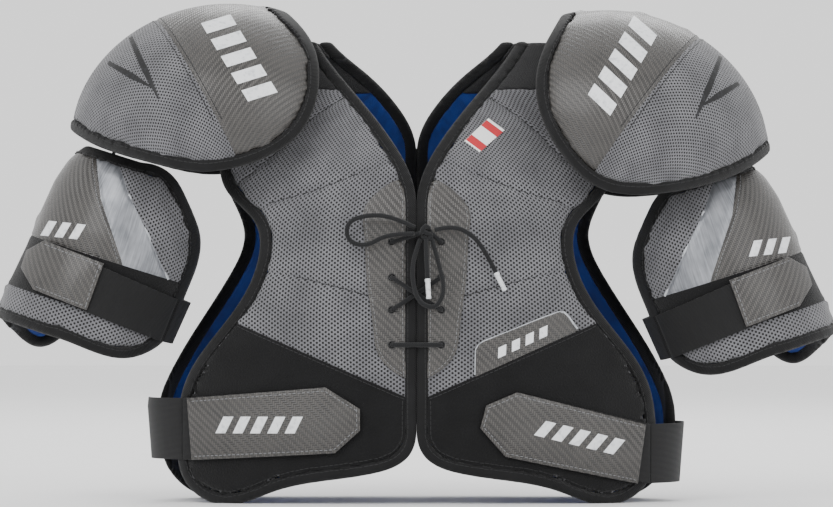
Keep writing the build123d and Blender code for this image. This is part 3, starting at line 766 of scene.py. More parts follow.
def strap_copy(node, name, body, material, place, width=0.45 * MM):
    """A thin flat strap or patch from its CAD solid, its cut edges rounded over."""
    piece = loose_copy(node, name)
    bm = bmesh.new()
    bm.from_mesh(piece.data)
    bmesh.ops.dissolve_limit(bm, angle_limit=math.radians(1.5), verts=bm.verts, edges=bm.edges,
                             use_dissolve_boundaries=False)
    sharp = [edge for edge in bm.edges if edge.is_manifold and edge.calc_face_angle() > math.radians(45)]
    bmesh.ops.bevel(bm, geom=sharp, offset=width, segments=2, profile=0.5, material=-1, affect="EDGES",
                    clamp_overlap=True)
    bmesh.ops.triangulate(bm, faces=bm.faces)
    bm.to_mesh(piece.data)
    bm.free()
    for polygon in piece.data.polygons:
        polygon.use_smooth = True
    lay_cloth(piece, place)
    piece.data.materials.append(material)
    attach(piece, body)
    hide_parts(node)
    return piece


gusset = strap_copy("spine_gusset", "spine_gusset_elastic", "torso", black_elastic, torso_cloth)

# ---- Chest straps ----
# Each side closes with 50 mm ribbed elastic sewn to the back and folded at the flank. Its loose end is
# backed with hook and covered by a shaped vinyl tab, stitched all round and screen-printed.


def screen_print(name, colour, worn):
    """Screen-printed ink on vinyl: a dull, thin, even film that has worn at its high points."""
    material, tree, shader = new_material(name, Roughness=0.5, Specular_IOR_Level=0.35)
    place = add_node(tree, "TexCoord").outputs["Object"]
    wear = add_node(tree, "TexNoise", {"Vector": place, "Scale": 260, "Detail": 4})
    share = add_node(tree, "MapRange", {0: wear, 1: 0.5, 2: 0.75})
    add_node(tree, "Mix", {0: share, 6: colour, 7: worn}, shader.inputs["Base Color"], data_type="RGBA")
    return material


pale_ink = screen_print("pale_grey_screen_ink", "#dfe1e3", "#b9bcc0")


def printed_bars(name, surface, body, start, end, count, height, lean, gap=0.42, ink=None, back=False):
    """A plain row of leaning bars printed on a surface, between two (across, height) places."""
    start, end = Vector(start), Vector(end)
    along = (end - start).normalized()
    up = Vector((-along.y, along.x)) * height / 2 + along * lean
    step = (end - start).length / count
    for place in range(count):
        low = start + along * step * place
        high = low + along * step * (1 - gap)
        corners = [low - up, high - up, high + up, low + up]
        bar = flat_piece(f"{name}_{place + 1}", [[tuple(corner) for corner in corners]], surface, 0.02 * MM,
                         0.18 * MM, cell=2.2 * MM, back=back)
        bar.data.materials.append(ink or pale_ink)
        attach(bar, body)


CHEST_BARS = {"right": ((-0.165, 0.066), (-0.092, 0.0665)), "left": ((0.103, 0.064), (0.176, 0.0455))}
for side, sign in SIDES.items():
    strap_copy(f"chest_strap_anchor_{side}", f"chest_strap_fixed_elastic_{side}", "torso", black_elastic,
               torso_cloth)
    strap_copy(f"chest_strap_elastic_{side}", f"chest_strap_loose_elastic_{side}", f"chest_strap_{side}",
               black_elastic, torso_cloth, 0.3 * MM)
    tab = strap_copy(f"chest_strap_tab_{side}", f"chest_strap_vinyl_tab_{side}", f"chest_strap_{side}",
                     carbon, torso_cloth, 0.6 * MM)
    tab_surface = surface_of(tab)
    rim = outer_edges(f"chest_strap_tab_{side}", torso_outward)[0]
    stitches(f"chest_strap_tab_stitching_{side}", sewn_edge(rim, TAB_SEAM_INSET, STITCH_PITCH), tab_surface,
             grey_thread, f"chest_strap_{side}", 2.6 * MM, 0.8 * MM)
    printed_bars(f"chest_strap_bar_{side}", tab_surface, f"chest_strap_{side}", *CHEST_BARS[side], 5, 14 * MM,
                 3.5 * MM)

# ---- Sewn-on patches ----
# A small woven size label is sewn beside the neck, and a vinyl badge with a raised pale border sits over
# the edge of the loop fabric. Both are on the wearer's left.


def woven_label(name, colour, shade):
    """Damask-woven polyester label: a fine flat weave with a faint satin shine."""
    material, tree, shader = new_material(name, Roughness=0.55, Sheen_Weight=0.2, Specular_IOR_Level=0.35)
    place = add_node(tree, "TexCoord").outputs["Object"]
    threads = add_node(tree, "TexWave", {"Vector": place, "Scale": 1 / (2 * 1.2 * MM)}, bands_direction="Z")
    add_node(tree, "Mix", {0: threads, 6: shade, 7: colour}, shader.inputs["Base Color"], data_type="RGBA")
    add_node(tree, "Bump", {"Height": threads, "Distance": 0.12 * MM}, shader.inputs["Normal"])
    return material


white_label = woven_label("white_damask_label", "#f0f0ee", "#d8d8d6")
red_label = woven_label("red_damask_label", "#c4202c", "#9a1620")
LABEL = [(0.0604, 0.3230), (0.0740, 0.3128), (0.0527, 0.2940), (0.0400, 0.3035)]
BADGE = [(0.0490, 0.1068), (0.0494, 0.1292), (0.0518, 0.1335), (0.0560, 0.1362), (0.1026, 0.1547),
         (0.1190, 0.1607), (0.1235, 0.1604), (0.1267, 0.1573), (0.1352, 0.1455)]


def along_edge(corners, low, high):
    """The strip of a four-cornered label between two shares of its long sides."""
    first, second, third, fourth = [Vector(corner) for corner in corners]
    return [tuple(place) for place in (first.lerp(fourth, low), second.lerp(third, low),
                                       second.lerp(third, high), first.lerp(fourth, high))]


chest_front = surfaces["chest", "left"]
for name, outline, lift, thickness, cloth in (
        ("size_label", LABEL, 0.2, 0.7, white_label),
        ("size_label_upper_block", along_edge(LABEL, 0.07, 0.30), 0.95, 0.15, red_label),
        ("size_label_lower_block", along_edge(LABEL, 0.70, 0.93), 0.95, 0.15, red_label)):
    patch = flat_piece(name, [outline], chest_front, lift * MM, thickness * MM, cell=2.5 * MM)
    patch.data.materials.append(cloth)
    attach(patch, "torso")
label_rim = [(in_front(chest_front, *corner)[0], Vector()) for corner in LABEL]
stitches("size_label_stitching", even_steps([point for point, _ in label_rim], 2.6 * MM, True), chest_front,
         grey_thread, "torso", 1.8 * MM, 0.6 * MM, sink=-0.7 * MM)


def tube_along(name, path, radius, material, body, closed=False, sides=8):
    """A round cord or piping laid along a path of points."""
    curve = bpy.data.curves.new(name, "CURVE")
    curve.dimensions = "3D"
    spline = curve.splines.new("POLY")
    spline.points.add(len(path) - 1)
    for place, point in zip(spline.points, path):
        place.co = (*point, 1)
    spline.use_cyclic_u = closed
    curve.bevel_depth = radius
    curve.bevel_resolution = sides // 4
    curve.use_fill_caps = not closed
    shaped = bpy.data.objects.new(name, curve)
    scene.collection.objects.link(shaped)
    mesh = bpy.data.meshes.new_from_object(shaped.evaluated_get(bpy.context.evaluated_depsgraph_get()))
    bpy.data.objects.remove(shaped)
    piece = bpy.data.objects.new(name, mesh)
    scene.collection.objects.link(piece)
    for polygon in mesh.polygons:
        polygon.use_smooth = True
    mesh.materials.clear()
    mesh.materials.append(material)
    if body:
        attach(piece, body)
    return piece


badge = flat_piece("badge_vinyl", [BADGE], chest_front, 0.3 * MM, 1.3 * MM, cell=2.5 * MM)
lay_cloth(badge, torso_cloth)
badge.data.materials.append(carbon)
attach(badge, "torso")
badge_surface = surface_of(badge)
badge_rim = [in_front(badge_surface, *corner)[0] or in_front(chest_front, *corner)[0] for corner in BADGE]
edge_path = [point + Vector((0, -0.3 * MM, 0)) for point, _ in even_steps(badge_rim, 3 * MM)]
pale_vinyl = screen_print("pale_grey_welded_vinyl", "#a9acb0", "#85888c")
tube_along("badge_border", edge_path, 0.9 * MM, pale_vinyl, "torso")
printed_bars("badge_bar", badge_surface, "torso", (0.068, 0.1265), (0.114, 0.1475), 4, 8 * MM, 2 * MM)

# ---- Lace, bow and aglets ----
# One round braided lace closes the front through four pairs of eyelets. It is knotted over the edge and
# tied in a bow, and each free end is tipped with a clear plastic aglet.

LACE_DIAMETER = 4.0 * MM
BRAID_PITCH = 5.0 * MM
EYELETS = [(0.1335, 0.1029), (0.1625, 0.1033), (0.1895, 0.1008), (0.2190, 0.0980)]
EYELET_ACROSS = 0.0205
OVER = 4.2 * MM
DIP = -2.6 * MM
CROSSING = (0.176, 0.1072)
KNOT = (0.008, -0.1065, 0.227)


def eyelet(row, side, lift):
    """A place on the lace at one eyelet: its row, its side, and how far it stands off the foam."""
    height, depth = EYELETS[row]
    return (side * EYELET_ACROSS, -depth - lift, height)


LACE_ROUTE = [
    (KNOT[0] - 0.00325, KNOT[1], KNOT[2]), eyelet(3, -1, OVER), eyelet(3, -1, DIP), eyelet(2, -1, DIP),
    eyelet(2, -1, OVER), (0, -CROSSING[1] - 4.6 * MM, CROSSING[0]), eyelet(1, 1, OVER), eyelet(1, 1, DIP),
    eyelet(0, 1, DIP), eyelet(0, 1, OVER), eyelet(0, -1, OVER), eyelet(0, -1, DIP), eyelet(1, -1, DIP),
    eyelet(1, -1, OVER), (0, -CROSSING[1], CROSSING[0]), eyelet(2, 1, OVER), eyelet(2, 1, DIP),
    eyelet(3, 1, DIP), eyelet(3, 1, OVER), (KNOT[0] + 0.00325, KNOT[1], KNOT[2]),
]
BOW_RIGHT = [(-1, -108, 231), (-19, -107, 240), (-40, -106, 242), (-58, -103, 236), (-58, -102, 220),
             (-42, -104, 215), (-24, -108, 226), (-2, -111.5, 226)]
BOW_LEFT = [(3, -108, 221), (-2, -113, 208), (-4, -117, 190), (1, -118, 169), (16, -118, 163),
            (24, -117, 179), (18, -113, 203), (13, -108, 221)]
END_LEFT = [(15, -108.5, 229), (30, -107, 233), (47, -105, 225), (58, -103, 210), (66, -102, 194)]
END_RIGHT = [(8, -112, 221), (8, -114.5, 211), (8.5, -116, 201), (9.2, -116.5, 189)]


def smooth_route(route):
    """Points along the smooth line of a cord whose control points are route."""
    curve = bpy.data.curves.new("route", "CURVE")
    curve.dimensions = "3D"
    curve.resolution_u = 24
    spline = curve.splines.new("NURBS")
    spline.points.add(len(route) - 1)
    for place, point in zip(spline.points, route):
        place.co = (*point, 1)
    spline.order_u = 3
    spline.use_endpoint_u = True
    holder = bpy.data.objects.new("route", curve)
    scene.collection.objects.link(holder)
    mesh = bpy.data.meshes.new_from_object(holder.evaluated_get(bpy.context.evaluated_depsgraph_get()))
    points = [vertex.co.copy() for vertex in mesh.vertices]
    bpy.data.objects.remove(holder)
    return points


def braided_cord(name, path, radius, material, body, sides=16, step=0.9 * MM):
    """A round braid along a smooth path: a sheet of cells rolled round it, its strands standing proud."""
    places = [path[0]] + [point for point, _ in even_steps(path, step)] + [path[-1]]
    bm = bmesh.new()
    bmesh.ops.create_grid(bm, x_segments=sides, y_segments=len(places) - 1, size=1)
    normal = (places[1] - places[0]).orthogonal().normalized()
    frames = []
    for index in range(len(places)):
        tangent = (places[min(index + 1, len(places) - 1)] - places[max(index - 1, 0)]).normalized()
        normal = (normal - tangent * normal.dot(tangent)).normalized()
        frames.append((normal, tangent.cross(normal)))
    cloth = bm.loops.layers.uv.new("cloth")
    for face in bm.faces:
        for loop in face.loops:
            around, along = loop.vert.co.x, loop.vert.co.y
            loop[cloth].uv = ((around + 1) * math.pi * radius, (along + 1) / 2 * len(places) * step)
    for vertex in bm.verts:
        index = round((vertex.co.y + 1) / 2 * (len(places) - 1))
        angle = (vertex.co.x + 1) * math.pi
        turn = index * step / BRAID_PITCH * 2 * math.pi
        strand = math.sin(3 * angle + turn) * math.sin(3 * angle - turn)
        reach = radius * (0.95 + 0.09 * strand)
        side, up = frames[index]
        vertex.co = places[index] + (side * math.cos(angle) + up * math.sin(angle)) * reach
    bmesh.ops.remove_doubles(bm, verts=bm.verts, dist=1e-5)
    bmesh.ops.holes_fill(bm, edges=[edge for edge in bm.edges if edge.is_boundary], sides=0)
    bmesh.ops.recalc_face_normals(bm, faces=bm.faces)
    cord = new_piece(name, bm)
    cord.data.materials.append(material)
    if body:
        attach(cord, body)
    return cord


def braided_polyester(name, strand, gap):
    """Braided polyester lace: round bundles of matt filament, with painted shade in black between the
    bundles.
    """
    material, tree, shader = new_material(name, Roughness=0.8, Sheen_Weight=0.12, Specular_IOR_Level=0.25)
    place = add_node(tree, "UVMap", uv_map="cloth")
    fibres = add_node(tree, "TexWave", {"Vector": place, "Scale": 1 / (2 * 1.3 * MM), "Distortion": 1.0},
                      bands_direction="DIAGONAL")
    # Painted shade: the gap colour darkens the troughs between the braid's bundles.
    add_node(tree, "Mix", {0: fibres, 6: gap, 7: strand}, shader.inputs["Base Color"], data_type="RGBA")
    add_node(tree, "Bump", {"Height": fibres, "Distance": 0.15 * MM}, shader.inputs["Normal"])
    return material


# The second colour is the painted shade between the lace's bundles.
black_lace = braided_polyester("black_braided_polyester", "#1c1d1f", "#060607")


def aglet_plastic(name, colour, scratched):
    """Clear acetate film rolled hard round the lace end: glossy, with a milky grey core showing through."""
    material, tree, shader = new_material(name, IOR=1.48, Coat_Weight=0.6, Coat_Roughness=0.08)
    place = add_node(tree, "TexCoord").outputs["Object"]
    scratches = add_node(tree, "TexNoise", {"Vector": place, "Scale": 420, "Detail": 3})
    share = add_node(tree, "MapRange", {0: scratches, 1: 0.45, 2: 0.7})
    add_node(tree, "Mix", {0: share, 6: colour, 7: scratched}, shader.inputs["Base Color"], data_type="RGBA")
    add_node(tree, "MapRange", {0: scratches, 3: 0.12, 4: 0.35}, shader.inputs["Roughness"])
    return material


milky_aglet = aglet_plastic("milky_acetate_aglet", "#d3d5d7", "#aeb1b4")


def aglet(name, tip, direction):
    """One aglet: a rolled tube with a waist crimp at each end, its far end rounded."""
    bm = bmesh.new()
    length, radius = 17.0 * MM, 2.5 * MM
    bmesh.ops.create_cone(bm, cap_ends=True, segments=20, radius1=radius, radius2=radius * 0.9, depth=length)
    bmesh.ops.translate(bm, vec=(0, 0, length / 2 + 0.3 * MM), verts=bm.verts)
    rims = [edge for edge in bm.edges if edge.calc_face_angle(0) > 1.0]
    bmesh.ops.bevel(bm, geom=rims, offset=0.7 * MM, segments=3, profile=0.5, material=-1, affect="EDGES")
    for height in (3.0 * MM, 3.7 * MM, 4.4 * MM, 13.0 * MM, 13.7 * MM, 14.4 * MM):
        everything = bm.verts[:] + bm.edges[:] + bm.faces[:]
        made = bmesh.ops.bisect_plane(bm, geom=everything, dist=1e-6, plane_co=(0, 0, height),
                                      plane_no=(0, 0, 1))
        if height in (3.7 * MM, 13.7 * MM):
            ring = [item for item in made["geom_cut"] if isinstance(item, bmesh.types.BMVert)]
            bmesh.ops.scale(bm, vec=(0.88, 0.88, 1), verts=ring)
    turn = Vector(direction).to_track_quat("Z", "Y").to_matrix().to_4x4()
    bmesh.ops.transform(bm, matrix=Matrix.Translation(tip) @ turn, verts=bm.verts)
    piece = new_piece(name, bm)
    piece.data.materials.append(milky_aglet)
    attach(piece, "torso")
    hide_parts("aglets")
    return piece


def metres(route):
    """A route in millimetres as points in metres."""
    return [tuple(value * MM for value in point) for point in route]


def tied_round(name, centre, radius, tilt, turn):
    """One wrap of the bow's knot: a short closed braid round the lace."""
    place = Matrix.Translation(centre) @ Matrix.Rotation(turn, 4, "Z") @ Matrix.Rotation(tilt, 4, "X")
    ring = [place @ Vector((radius * math.cos(a), radius * 0.8 * math.sin(a), 0.0011 * math.sin(2 * a)))
            for a in [index * math.pi / 12 for index in range(25)]]
    return braided_cord(name, ring, LACE_DIAMETER / 2, black_lace, "torso")


wraps = [tied_round("bow_knot_first_wrap", KNOT, 4.0 * MM, math.radians(12), 0.3),
         tied_round("bow_knot_second_wrap", (KNOT[0] - 0.001, KNOT[1] - 0.0005, KNOT[2] + 0.0032), 3.6 * MM,
                    math.radians(-28), 1.2),
         tied_round("bow_knot_third_wrap", (KNOT[0] + 0.001, KNOT[1], KNOT[2] - 0.0034), 3.6 * MM,
                    math.radians(38), -0.6)]
ends = {}
for name, route in (("lace_end_left", metres(END_LEFT)), ("lace_end_right", metres(END_RIGHT))):
    ends[name] = aglet(f"aglet_{name[-5:].strip('_')}", route[-1], Vector(route[-1]) - Vector(route[-2]))

for name, route, far_end, pieces in (("lacing", LACE_ROUTE, "knot", wraps),
                                     ("bow_loop_right", metres(BOW_RIGHT), "object", []),
                                     ("bow_loop_left", metres(BOW_LEFT), "object", []),
                                     ("lace_end_left", metres(END_LEFT), "fitting", [ends["lace_end_left"]]),
                                     ("lace_end_right", metres(END_RIGHT), "fitting",
                                      [ends["lace_end_right"]])):
    line = smooth_route(route)
    length = sum((after - before).length for before, after in zip(line, line[1:]))
    cord = braided_cord(f"{name}_braid", line, LACE_DIAMETER / 2, black_lace, "torso")
    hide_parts(name)
    tuple(line[0])
    [tuple(point) for point in line]
    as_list(pieces)

for side, sign in SIDES.items():
    for row, (height, depth) in enumerate(EYELETS):
        hole = bmesh.new()
        bmesh.ops.create_circle(hole, segments=20, radius=2.9 * MM)
        bmesh.ops.rotate(hole, cent=(0, 0, 0), matrix=Matrix.Rotation(math.pi / 2, 3, "X"), verts=hole.verts)
        found, _ = in_front(surface_of(facings[side]), sign * (EYELET_ACROSS + 4 * MM), height)
        centre = Vector((sign * EYELET_ACROSS, found.y + 0.1 * MM, height))
        ring = [centre + vertex.co for vertex in hole.verts]
        hole.free()
        tube_along(f"eyelet_binding_{side}_{row + 1}", ring, 0.6 * MM, black_thread, "torso", closed=True)

# ---- Shoulder caps ----
# Each cap is a domed foam cup. Carbon-look vinyl covers its inner half and grey mesh its outer half, joined
# by a seam stitched down on both sides. Webbing inside ties it to the shoulder and carries the guard.

CAP_CENTRE = {"right": (0.168, 0.314, math.radians(12)), "left": (0.175, 0.307, math.radians(20))}
CAP_HALF_LENGTH = 0.126
CAP_RADIUS = 0.107
CAP_UNROLL = 0.115
CAP_SEAM = (0.0046, -0.096, 0.276)


def cap_points(side, points):
    """Points in the cap's own axes: along its length, to the back, and up out of its rim."""
    across, height, tilt = CAP_CENTRE[side]
    out = np.asarray(points)[:, 0] * SIDES[side] - across
    up = np.asarray(points)[:, 2] - height
    along = out * math.cos(tilt) - up * math.sin(tilt)
    return np.column_stack([along, np.asarray(points)[:, 1], out * math.sin(tilt) + up * math.cos(tilt)])


def cap_world(side, point):
    """A point of the cap's own axes in the frame."""
    across, height, tilt = CAP_CENTRE[side]
    out = across + point[0] * math.cos(tilt) + point[2] * math.sin(tilt)
    up = height - point[0] * math.sin(tilt) + point[2] * math.cos(tilt)
    return Vector((SIDES[side] * out, point[1], up))


def cap_cloth(side):
    """The cap's cloth coordinates: metres outwards from its crown in every direction."""
    def place(points):
        unit = cap_points(side, points) / (CAP_HALF_LENGTH, CAP_RADIUS, CAP_RADIUS)
        unit /= np.linalg.norm(unit, axis=1, keepdims=True)
        reach = np.arccos(np.clip(unit[:, 2], -1, 1)) * CAP_UNROLL
        turn = np.arctan2(unit[:, 1], unit[:, 0])
        return np.column_stack([reach * np.cos(turn), reach * np.sin(turn)])
    return place


def cap_outward(side):
    """The direction straight out of the cap's surface at a point."""
    def direction(point):
        along, back, up = cap_points(side, [point])[0]
        local = (along / CAP_HALF_LENGTH ** 2, back / CAP_RADIUS ** 2, up / CAP_RADIUS ** 2)
        return (cap_world(side, local) - cap_world(side, (0, 0, 0))).normalized()
    return direction


def seam_offset(side, points):
    """How far each point lies outwards of the cap's seam, in metres."""
    local = cap_points(side, points)
    start, splay, lean = CAP_SEAM
    return local[:, 0] - start - splay * np.abs(local[:, 1]) - lean * local[:, 2]


def split_piece(piece, planes, surface_material):
    """Cuts a piece's faces cleanly along planes, and gives each face its material by a rule."""
    bm = bmesh.new()
    bm.from_mesh(piece.data)
    for point, normal, keep in planes:
        chosen = [face for face in bm.faces if keep(face.calc_center_median())]
        corners = {v for face in chosen for v in face.verts}
        parts = set(chosen) | corners | {e for face in chosen for e in face.edges}
        bmesh.ops.bisect_plane(bm, geom=list(parts), dist=1e-6, plane_co=point, plane_no=normal)
    for face in bm.faces:
        face.material_index = surface_material(face.calc_center_median())
    bm.to_mesh(piece.data)
    bm.free()


CAP_BARS = {"right": ((-0.128, 0.340), (-0.172, 0.412)), "left": ((0.152, 0.333), (0.196, 0.407))}
CAP_STRIPES = {
    "right": [((-0.2415, 0.3925), (-0.2150, 0.3385)), ((-0.2600, 0.3705), (-0.2215, 0.3485))],
    "left": [((0.2570, 0.3760), (0.2330, 0.3225)), ((0.2715, 0.3530), (0.2385, 0.3330))],
}
STRIPE_WIDTH = 5.2 * MM


def tapered(start, end, width):
    """A stripe's outline, width across at its start and nearly a point at its end."""
    start, end = Vector(start), Vector(end)
    along = (end - start).normalized()
    side = Vector((-along.y, along.x)) * width / 2
    middle = start.lerp(end, 0.55)
    corners = [start - side * 0.6, start + side * 0.6, middle + side, end + side * 0.2, end - side * 0.2,
               middle - side]
    return [tuple(corner) for corner in corners]


black_ink = screen_print("black_screen_ink", "#0b0b0d", "#232428")

for side, sign in SIDES.items():
    body = f"cap_{side}"
    cover = even_grid(loose_copy(f"cap_pad_{side}", f"cap_cover_{side}"), 3.5 * MM, 2, widen=2.5 * MM)
    outward = cap_points(side, coordinates(cover)) / (CAP_HALF_LENGTH ** 2, CAP_RADIUS ** 2, CAP_RADIUS ** 2)
    outward /= np.linalg.norm(outward, axis=1, keepdims=True)
    lifted = coordinates(cover) + surface_normals(cover)
    tilted = cap_points(side, lifted) - cap_points(side, coordinates(cover))
    facing = np.sum(outward * tilted, axis=1)
    held = (facing < 0.6) | (np.abs(seam_offset(side, coordinates(cover))) < 4 * MM)
    inflate(cover, held.astype(float), 5.0, 4 * MM)
    subdivide(cover)
    lifted = coordinates(cover) + surface_normals(cover)
    tilted = cap_points(side, lifted) - cap_points(side, coordinates(cover))
    outward = cap_points(side, coordinates(cover)) / (CAP_HALF_LENGTH ** 2, CAP_RADIUS ** 2, CAP_RADIUS ** 2)
    outward /= np.linalg.norm(outward, axis=1, keepdims=True)
    gap = np.abs(seam_offset(side, coordinates(cover)))
    gap[np.sum(outward * tilted, axis=1) < 0.5] = 1.0
    groove(cover, gap, 2.6 * MM, 1.3 * MM)

    start, splay, lean = CAP_SEAM
    origin = cap_world(side, (start, 0, 0))
    planes = [(origin, (0, 1, 0), lambda point: True)]
    for half in (1, -1):
        normal = cap_world(side, (1, -splay * half, -lean)) - cap_world(side, (0, 0, 0))
        planes.append((origin, normal, lambda point, half=half: point.y * half > 0))
    split_piece(cover, planes, lambda point, side=side: int(seam_offset(side, [point])[0] > 0))
    cover.data.materials.append(carbon)
    cover.data.materials.append(grey_mesh)
    lay_cloth(cover, cap_cloth(side))
    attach(cover, body)
    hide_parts(f"cap_pad_{side}")
    cover_surface = surface_of(cover)

    for row, offset in (("inner", -3.4 * MM), ("outer", 3.4 * MM)):
        path = []
        for step in range(-60, 61):
            angle = math.radians(step * 1.45)
            back, up = CAP_RADIUS * math.sin(angle), CAP_RADIUS * math.cos(angle)
            along = start + splay * abs(back) + lean * up + offset
            shrink = math.sqrt(max(1 - (along / CAP_HALF_LENGTH) ** 2, 0))
            path.append(cap_world(side, (start + splay * abs(back) * shrink + lean * up * shrink + offset,
                                         back * shrink, up * shrink)))
        stitches(f"cap_seam_{row}_stitching_{side}", even_steps(path, 4.0 * MM), cover_surface,
                 black_thread, body)

    edge = edge_binding(f"cap_binding_{side}", f"cap_edge_{side}", body, cap_cloth(side))
    rim = outer_edges(f"cap_pad_{side}", cap_outward(side))[0]
    stitches(f"cap_edge_stitching_{side}", sewn_edge(rim, -2.4 * MM), surface_of(edge), black_thread, body)
    strap_copy(f"cap_strap_{side}", f"cap_webbing_{side}", body, black_elastic, cap_cloth(side))
    printed_bars(f"cap_bar_{side}", cover_surface, body, *CAP_BARS[side], 5, 25 * MM, 3 * MM, gap=0.36)
    for place, outline in enumerate(CAP_STRIPES[side]):
        stripe = flat_piece(f"cap_stripe_{side}_{place + 1}", [tapered(*outline, STRIPE_WIDTH)],
                            cover_surface, 0.05 * MM, 0.35 * MM,
                            cell=2 * MM)
        stripe.data.materials.append(black_ink)
        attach(stripe, body)

# ---- Biceps guards ----
# Each guard wraps the upper arm. Its cover is cut from vinyl, a silver stripe edged with piping, mesh and a
# band of loop fabric, over one foam pad that is rolled at the hem. It hangs from the cap on webbing.

ARM_TILT = math.radians(17.5)
ARM_TOP = {"right": (0.240, 0.293), "left": (0.240, 0.279)}
ARM_UNROLL = 0.072
STRIPE_INNER = [(0.0322, 0.005), (0.0274, 0.0128), (0.0124, 0.0438), (0.0016, 0.0582), (-0.0185, 0.0854),
                (-0.0220, 0.0910)]
STRIPE_OUTER = [(0.0122, 0.005), (0.0102, 0.0074), (-0.0089, 0.0328), (-0.0347, 0.0603), (-0.0596, 0.0892),
                (-0.0611, 0.0910)]
BAND_TOP = 0.0910
BAND_HEM = 0.1360


def arm_points(side, points):
    """Points in the guard's own axes: outwards, to the back, and down the arm."""
    across, height = ARM_TOP[side]
    out = np.asarray(points)[:, 0] * SIDES[side] - across
    up = np.asarray(points)[:, 2] - height
    return np.column_stack([out * math.cos(ARM_TILT) + up * math.sin(ARM_TILT), np.asarray(points)[:, 1],
                            out * math.sin(ARM_TILT) - up * math.cos(ARM_TILT)])


def arm_world(side, outwards, down):
    """(across, height) in the frame of a place on the guard."""
    across, height = ARM_TOP[side]
    out = across + outwards * math.cos(ARM_TILT) + down * math.sin(ARM_TILT)
    return SIDES[side] * out, height + outwards * math.sin(ARM_TILT) - down * math.cos(ARM_TILT)


def arm_cloth(side):
    """The guard's cloth coordinates: metres round the arm and down it."""
    def place(points):
        local = arm_points(side, points)
        return np.column_stack([np.arctan2(local[:, 1], local[:, 0] + 0.009) * ARM_UNROLL, local[:, 2]])
    return place


def arm_outward(side):
    """The direction straight out of the guard's surface at a point."""
    def direction(point):
        outwards, back, _ = arm_points(side, [point])[0]
        out = outwards + 0.009
        return Vector((SIDES[side] * out * math.cos(ARM_TILT), back, out * math.sin(ARM_TILT))).normalized()
    return direction


def silver_vinyl(name, bright, dull):
    """Metallised PU film on cloth: a soft silver with fine brushed lines that follow the panel."""
    material, tree, shader = new_material(name, Metallic=0.55, Coat_Weight=0.15, Coat_Roughness=0.3)
    place = add_node(tree, "UVMap", uv_map="cloth")
    stretched = add_node(tree, "VectorMath", {0: place, 1: (1, 0.06, 1)}, operation="MULTIPLY")
    brushed = add_node(tree, "TexNoise", {"Vector": stretched, "Scale": 700, "Detail": 3})
    cloudy = add_node(tree, "TexNoise", {"Vector": place, "Scale": 50, "Detail": 2})
    share = add_node(tree, "Math", {0: brushed, 1: cloudy}, operation="ADD")
    share = add_node(tree, "MapRange", {0: share, 1: 0.7, 2: 1.3})
    add_node(tree, "Mix", {0: share, 6: dull, 7: bright}, shader.inputs["Base Color"], data_type="RGBA")
    add_node(tree, "MapRange", {0: brushed, 3: 0.3, 4: 0.5}, shader.inputs["Roughness"])
    add_node(tree, "Bump", {"Height": brushed, "Distance": 0.1 * MM}, shader.inputs["Normal"])
    return material


silver_film = silver_vinyl("silver_metallised_vinyl", "#94969b", "#63666b")
pale_piping = screen_print("pale_grey_vinyl_piping", "#b4b7bb", "#8f9296")


def stripe_edge(line, down):
    """How far outwards a stripe's edge lies at each distance down the arm."""
    return np.interp(down, [place[1] for place in line], [place[0] for place in line])


def arm_panel(side, point):
    """Which cover cloth lies at a point: 0 vinyl, 1 silver, 2 mesh, 3 loop."""
    outwards, _, down = arm_points(side, [point])[0]
    if BAND_TOP < down < BAND_HEM:
        return 3
    if down >= BAND_HEM or outwards < stripe_edge(STRIPE_OUTER, down):
        return 2
    return 1 if outwards < stripe_edge(STRIPE_INNER, down) else 0


def along_arm(side, line, surface, back=False):
    """A line of the guard's pattern laid on its surface."""
    path = [in_front(surface, *arm_world(side, *place), back)[0] for place in line]
    return [point for point in path if point]


